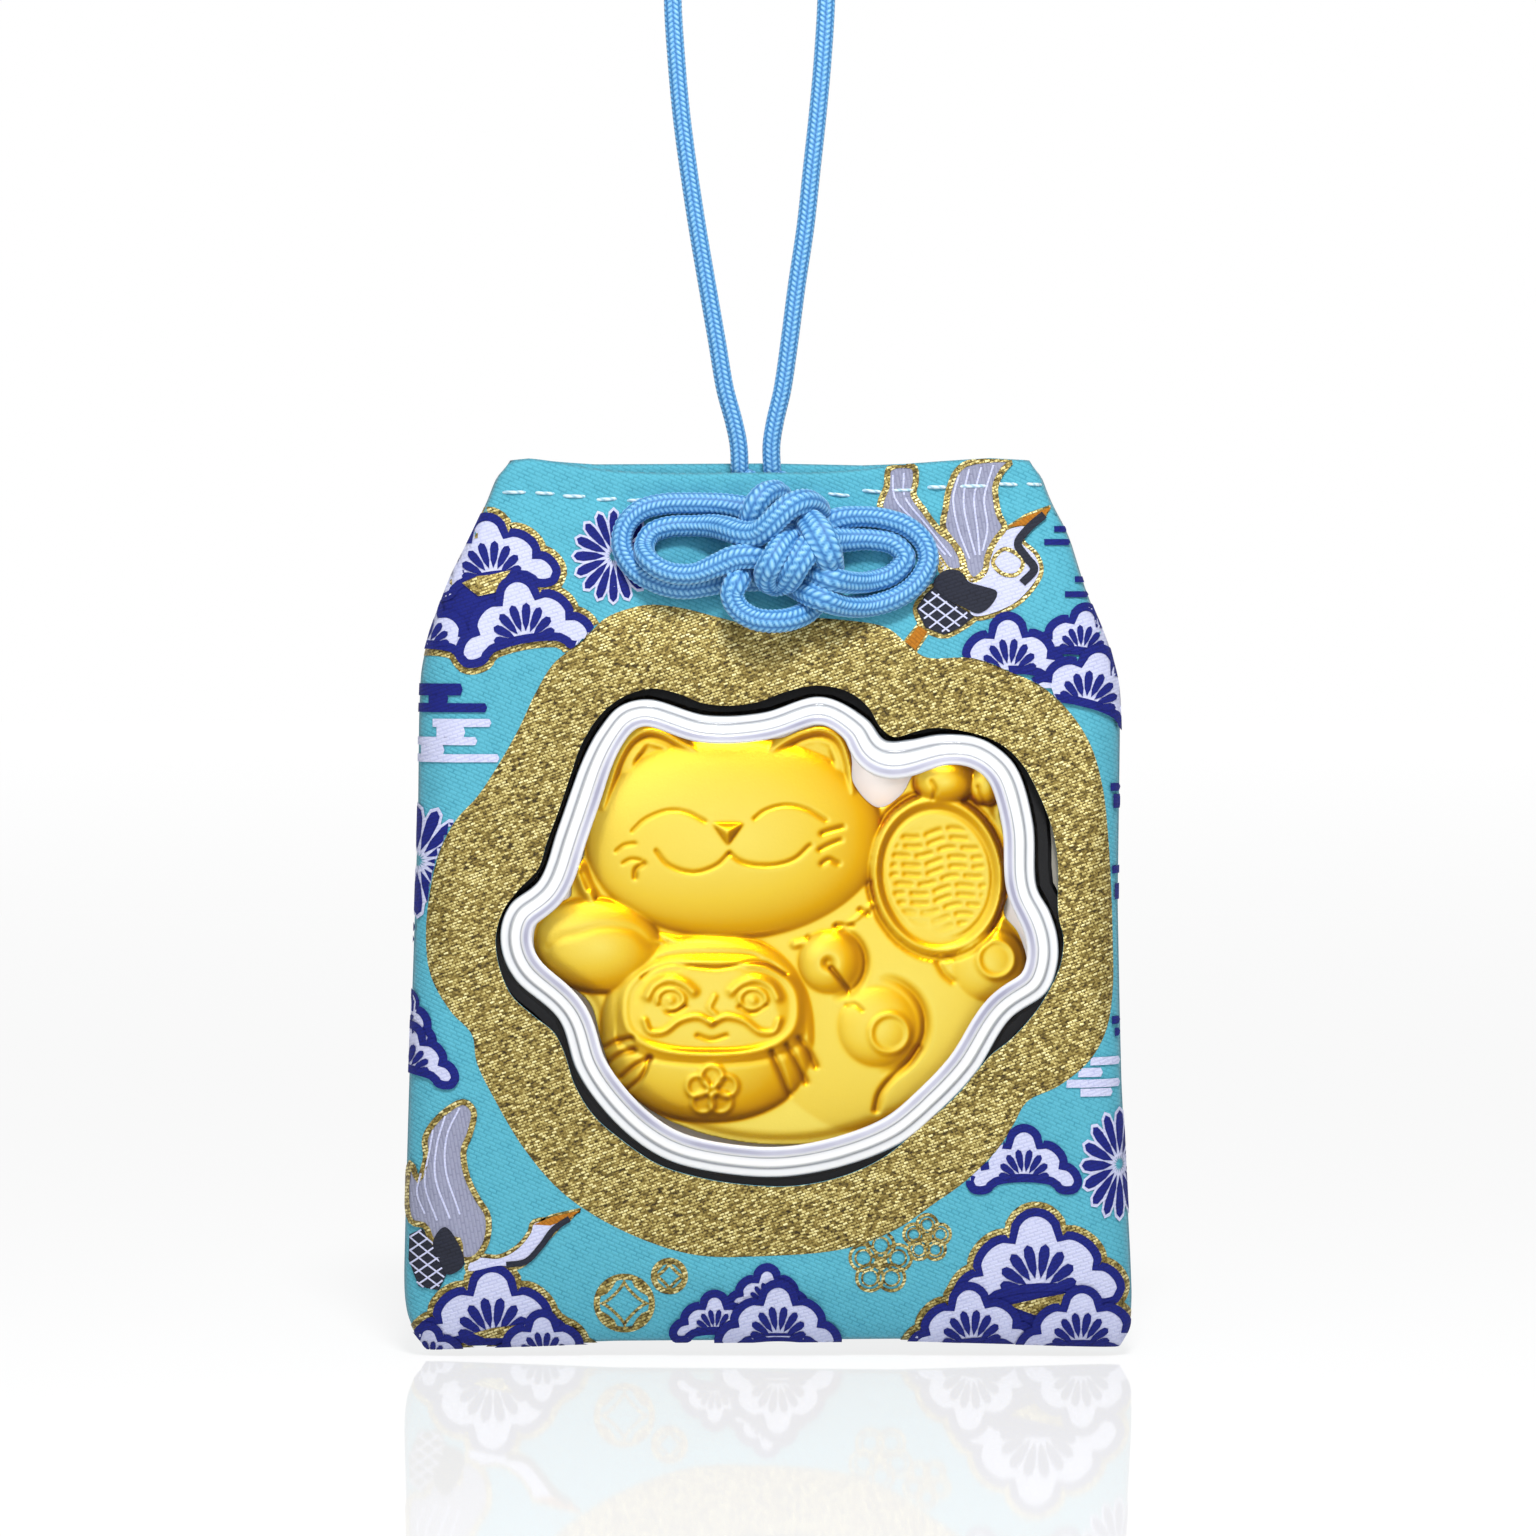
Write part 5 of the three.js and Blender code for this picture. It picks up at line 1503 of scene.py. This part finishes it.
def petal(start, end, width, angle):
    """A rounded stroke from start to end along an angle, widest near its far end"""
    shares = np.array([0, 0.3, 0.7, 0.9, 1, 0.9, 0.7, 0.3])
    halves = np.array([0, 0.36, 0.5, 0.4, 0, -0.4, -0.5, -0.36]) * width
    along = start + (end - start) * shares
    turn = math.radians(angle)
    return np.stack([along * math.cos(turn) - halves * math.sin(turn),
                     along * math.sin(turn) + halves * math.cos(turn)], axis=1)


def off_face(x, drop, side, lift):
    """Places raised square to the cloth's outer face"""
    step, steepest = 0.03, 4
    depth = face_depth(x, drop, side)
    rightwards = (face_depth(x + step, drop, side) - face_depth(x - step, drop, side)) / (2 * step)
    downwards = (face_depth(x, drop + step, side) - face_depth(x, drop - step, side)) / (2 * step)
    rightwards = np.clip(rightwards, -steepest, steepest)
    downwards = np.clip(downwards, -steepest, steepest)
    rise = lift / np.sqrt(1 + rightwards ** 2 + downwards ** 2)
    return np.stack([x - rise * rightwards, side * (depth + rise), -drop + rise * downwards], axis=1)


ACROSS, UPWARD = 0, 2
# Where the woven patches are cut: every millimetre, and more finely at the foot, the mouth and the sides
CUTS = [(ACROSS, at) for at in np.arange(-29.5, 31)] + [(UPWARD, at) for at in np.arange(-73.5, 0)]
CUTS += [(UPWARD, at) for at in (-73.25, -73, -72.75, -72.25, -72, -71, -0.75, -0.25)]
CUTS += [(ACROSS, at) for at in (*np.arange(-29.75, -20, 0.5), *(np.arange(-29, -20) + 0.25))]
CUTS += [(ACROSS, at) for at in (*np.arange(20.25, 31, 0.5), *(np.arange(20, 31) + 0.5))]


class Weft:
    """Figures woven in one thread: flat patches, cut finely and laid over the cloth"""

    def __init__(self, name, material, side):
        self.name, self.material, self.side = name, material, side
        self.made = bmesh.new()

    def patch(self, points, lift, smooth=0):
        """A filled outline, given in pixels, and made a curve of smooth points where that is set"""
        if smooth:
            points = smooth_curve(points, smooth, closed=True)
        fill_outline(self.made, [(x, lift, -drop) for x, drop in from_photo(points)])

    def ribbon(self, points, width, lift, closed=False, smooth=0):
        """A band of one width along a line, given in pixels"""
        if smooth:
            points = smooth_curve(points, smooth, closed)
        points = np.array(points, float)
        if closed:
            points = np.vstack([points, points[:1]])
        along = np.gradient(points, axis=0)
        if closed:
            along[0] = along[-1] = points[1] - points[-2]
        along /= np.linalg.norm(along, axis=1)[:, None] + 1e-9
        out = np.stack([-along[:, 1], along[:, 0]], axis=1) * width / 2
        rims = [[self.made.verts.new((x, lift, -drop)) for x, drop in from_photo(points + side * out)]
                for side in (-1, 1)]
        rails = [[self.made.edges.new(pair) for pair in zip(rim, rim[1:])] for rim in rims]
        bmesh.ops.bridge_loops(self.made, edges=rails[0] + rails[1])

    def cut(self):
        """Cuts the patches finely, so that they can follow the cloth"""
        for axis, at in CUTS:
            place, normal = Vector(), Vector()
            place[axis], normal[axis] = at, 1
            geometry = self.made.verts[:] + self.made.edges[:] + self.made.faces[:]
            bmesh.ops.bisect_plane(self.made, geom=geometry, plane_co=place, plane_no=normal, dist=1e-5)

    def drop_faces(self, outline):
        """Drops what lies past the cloth, or inside the outline"""
        past = 0.4
        middles = np.array([face.calc_center_median() for face in self.made.faces])
        x, drop = middles[:, 0], -middles[:, 2]
        lost = (x < left_edge(drop) - past) | (x > right_edge(drop) + past)
        lost |= (drop < top_edge(x, self.side)) | (drop > foot_edge(x))
        if outline is not None:
            lost |= inside_of(outline, x, drop)
        doomed = [face for face, gone in zip(self.made.faces, lost) if gone]
        bmesh.ops.delete(self.made, geom=doomed, context="FACES")

    def drape(self, outline):
        """Brings what is left within the cloth's edges, out of the outline, and onto the cloth"""
        places = np.array([vertex.co for vertex in self.made.verts])
        x, drop, lift = places[:, 0], -places[:, 2], places[:, 1] + WEFT_CLEAR
        if outline is not None:
            dense = evenly_round(outline, 3000)
            for at in np.flatnonzero(inside_of(outline, x, drop)):
                x[at], drop[at] = nearest_on(dense, x[at], drop[at])
        margin = EDGE_GAP + 0.7 * lift
        x = np.clip(x, left_edge(drop) + margin, right_edge(drop) - margin)
        drop = np.clip(drop, top_edge(x, self.side) + TOP_GAP, foot_edge(x) - margin)
        for vertex, place in zip(self.made.verts, off_face(x, drop, self.side, lift)):
            vertex.co = place

    def lay(self, outline):
        """Finishes the thread's piece, with nothing of it inside the outline, where one is given"""
        self.cut()
        self.drop_faces(outline)
        self.drape(outline)
        turn_out(self.made, self.side)
        settle(self.made, self.name, self.material)


WEFT_THREADS = [("gold_thread", GOLD_THREAD), ("navy_weft", NAVY), ("pale_weft", PALE),
                ("feather_weft", FEATHER), ("charcoal_weft", CHARCOAL), ("amber_weft", AMBER)]


def weave_pine(wefts, x, y, half_width, tilt, gold, under):
    """A pine bough: pale, edged with navy, and where it is in a group with gold round the whole group"""
    lift = under * LEVEL_LIFT
    outline = turned(bowed(PINE_OUTLINE), (x, y), half_width, tilt)
    if gold:
        wefts["gold_thread"].ribbon(outline, GROUP_EDGE, GOLD_LIFT, closed=True)
    wefts["pale_weft"].patch(outline, PALE_LIFT + lift)
    wefts["navy_weft"].ribbon(outline, PINE_EDGE, NAVY_LIFT + lift, closed=True)
    needles, first_angle, fan = 8, 14, 152
    for at in range(needles):
        angle = first_angle + fan * at / (needles - 1)
        reach = 0.44 + 0.16 * math.sin(math.radians(angle))
        stroke = petal(0.17, reach, 0.135, angle)
        wefts["navy_weft"].patch(turned(stroke, (x, y), half_width, tilt), STROKE_LIFT + lift)


def weave_chrysanthemum(wefts, x, y, half_width, half_height):
    """A round flower of navy petals, each edged with pale silk"""
    petals = 16
    for at in range(petals):
        angle = 360 * at / petals
        rim = turned(petal(0.08, 1.06, 0.31, angle), (x, y), (half_width, half_height))
        heart = turned(petal(0.2, 0.99, 0.215, angle), (x, y), (half_width, half_height))
        wefts["pale_weft"].patch(rim, PALE_LIFT)
        wefts["navy_weft"].patch(heart, NAVY_LIFT)


def weave_rows(weft, rows, lift):
    """Rows of mist, with their right ends a little pointed"""
    for x1, x2, middle, thickness in rows:
        top, foot, point = middle - thickness / 2, middle + thickness / 2, 2
        weft.patch([(x1, top), (x2 - point, top), (x2, middle), (x2 - point, foot), (x1, foot)], lift)


def weave_feathers(wefts, outline, quills):
    """A wing: grey, edged with gold, with paler quills"""
    wefts["gold_thread"].ribbon(outline, WING_EDGE, STROKE_LIFT, closed=True, smooth=90)
    wefts["feather_weft"].patch(outline, PALE_LIFT, smooth=90)
    for quill in quills:
        wefts["pale_weft"].ribbon(quill, QUILL, STROKE_LIFT, smooth=14)


def weave_scales(wefts, outline):
    """Tail feathers: charcoal with pale crossing edges"""
    lift = LEVEL_LIFT / 2
    wefts["charcoal_weft"].patch(outline, PALE_LIFT + lift)
    points = np.array(outline, float)
    low, high = points.min(axis=0), points.max(axis=0)
    middle = (low + high) / 2
    for slope in (-0.75, 0.75):
        for offset in np.arange(-60, 60, SCALE_PITCH):
            x = np.linspace(low[0], high[0], 24)
            y = middle[1] + offset + slope * (x - middle[0])
            held = inside_of(points, x, y)
            if held.sum() > 3:
                line = np.stack([x, y], axis=1)[held]
                wefts["pale_weft"].ribbon(line, SCALE_EDGE, STROKE_LIFT + lift)


def weave_cranes(wefts):
    """The flying crane by the knot, and the one that rises at the foot"""
    gold, pale, charcoal = (wefts[name] for name in ("gold_thread", "pale_weft", "charcoal_weft"))
    weave_feathers(wefts, WING_RIGHT, WING_RIGHT_QUILLS)
    weave_feathers(wefts, WING_LEFT, WING_LEFT_QUILLS)
    gold.ribbon(CRANE_BODY, BODY_EDGE, GOLD_LIFT, closed=True, smooth=90)
    pale.patch(CRANE_BODY, BODY_LIFT, smooth=90)
    gold.ribbon(NECK_HOLE, NECK_HOLE_EDGE, RUMP_LIFT, closed=True, smooth=30)
    charcoal.patch(CRANE_RUMP, RUMP_LIFT, smooth=50)
    charcoal.ribbon(CRANE_STRIPE, STRIPE_WIDTH, STRIPE_LIFT, smooth=60)
    gold.ribbon(CRANE_TAIL, TAIL_EDGE, GOLD_LIFT, closed=True, smooth=60)
    weave_scales(wefts, CRANE_TAIL)
    for outline in (CRANE_LEGS, CRANE_BEAK, RISING_BEAK):
        gold.ribbon(outline, LEG_EDGE, GOLD_LIFT, closed=True)
        wefts["amber_weft"].patch(outline, STROKE_LIFT)

    weave_feathers(wefts, RISING_WING, RISING_QUILLS)
    gold.ribbon(RISING_NECK, NECK_EDGE, GOLD_LIFT, closed=True, smooth=60)
    pale.patch(RISING_NECK, NECK_LIFT, smooth=60)
    charcoal.patch(RISING_RUMP, RISING_RUMP_LIFT, smooth=40)
    charcoal.ribbon(RISING_STRIPE, RISING_STRIPE_WIDTH, RISING_STRIPE_LIFT, smooth=30)
    weave_scales(wefts, RISING_TAIL)


def weave_rounds(wefts):
    """Coins with square holes, and plum blossoms, both in gold line"""
    gold = wefts["gold_thread"]
    circle = [(math.cos(angle), math.sin(angle)) for angle in np.linspace(0, 2 * math.pi, 49)[:-1]]
    hole = [(-0.8, 0, -0.12), (0, 0.8, -0.12), (0.8, 0, -0.12), (0, -0.8, -0.12)]
    for x, y, radius in COINS:
        gold.ribbon(turned(circle, (x, y), radius - COIN_EDGE_INSET), COIN_EDGE, GOLD_LIFT, closed=True)
        gold.ribbon(turned(bowed(hole), (x, y), radius), HOLE_LINE, GOLD_LIFT, closed=True)
        for middle in (45, 135, 225, 315):
            angles = np.radians(np.linspace(middle - 27, middle + 27, 9))
            outer = [(0.82 * math.cos(angle), 0.82 * math.sin(angle)) for angle in angles]
            inner = [(0.66 * math.cos(angle), 0.66 * math.sin(angle)) for angle in angles[-3:2:-1]]
            gold.patch(turned(outer + inner, (x, y), radius), GOLD_LIFT)
    for x, y, radius in PLUMS:
        for at in range(5):
            angle = math.radians(90 + 72 * at)
            centre = (x + 0.55 * radius * math.cos(angle), y - 0.55 * radius * math.sin(angle))
            gold.ribbon(turned(circle, centre, 0.4 * radius), PETAL_EDGE, GOLD_LIFT, closed=True)
            gold.ribbon(turned(circle, centre, 0.24 * radius), PETAL_LINE, NAVY_LIFT, closed=True)
        gold.patch(turned(circle, (x, y), 0.2 * radius), STROKE_LIFT)


def make_brocade_figures():
    """The woven figures of both panels, one piece for each thread"""
    lame_outline = smooth_curve(from_photo(LAME_PIXELS), 600, closed=True)
    for side, pines, flowers in ((-1, PINES, CHRYSANTHEMUMS), (1, BACK_PINES, BACK_CHRYSANTHEMUMS)):
        face = "front" if side < 0 else "back"
        wefts = {name: Weft(face + "_" + name, material, side) for name, material in WEFT_THREADS}
        for pine in pines:
            weave_pine(wefts, *pine)
        for flower in flowers:
            weave_chrysanthemum(wefts, *flower)
        if side < 0:
            for points in GROUP_HEARTS:
                wefts["navy_weft"].patch(points, HEART_LIFT)
            for points in DIAMONDS:
                wefts["gold_thread"].patch(points, DIAMOND_LIFT)
            weave_cranes(wefts)
            weave_rounds(wefts)
            weave_rows(wefts["navy_weft"], NAVY_MIST, NAVY_LIFT)
            weave_rows(wefts["pale_weft"], PALE_MIST, PALE_LIFT)
        for weft in wefts.values():
            if weft.made.faces:
                weft.lay(lame_outline if side < 0 else None)


make_camera()
make_cords()
make_studio()
make_cloth()
make_lame()
make_seam()
finish_carried()
make_case()
make_foil()
make_stitches()
make_brocade_figures()
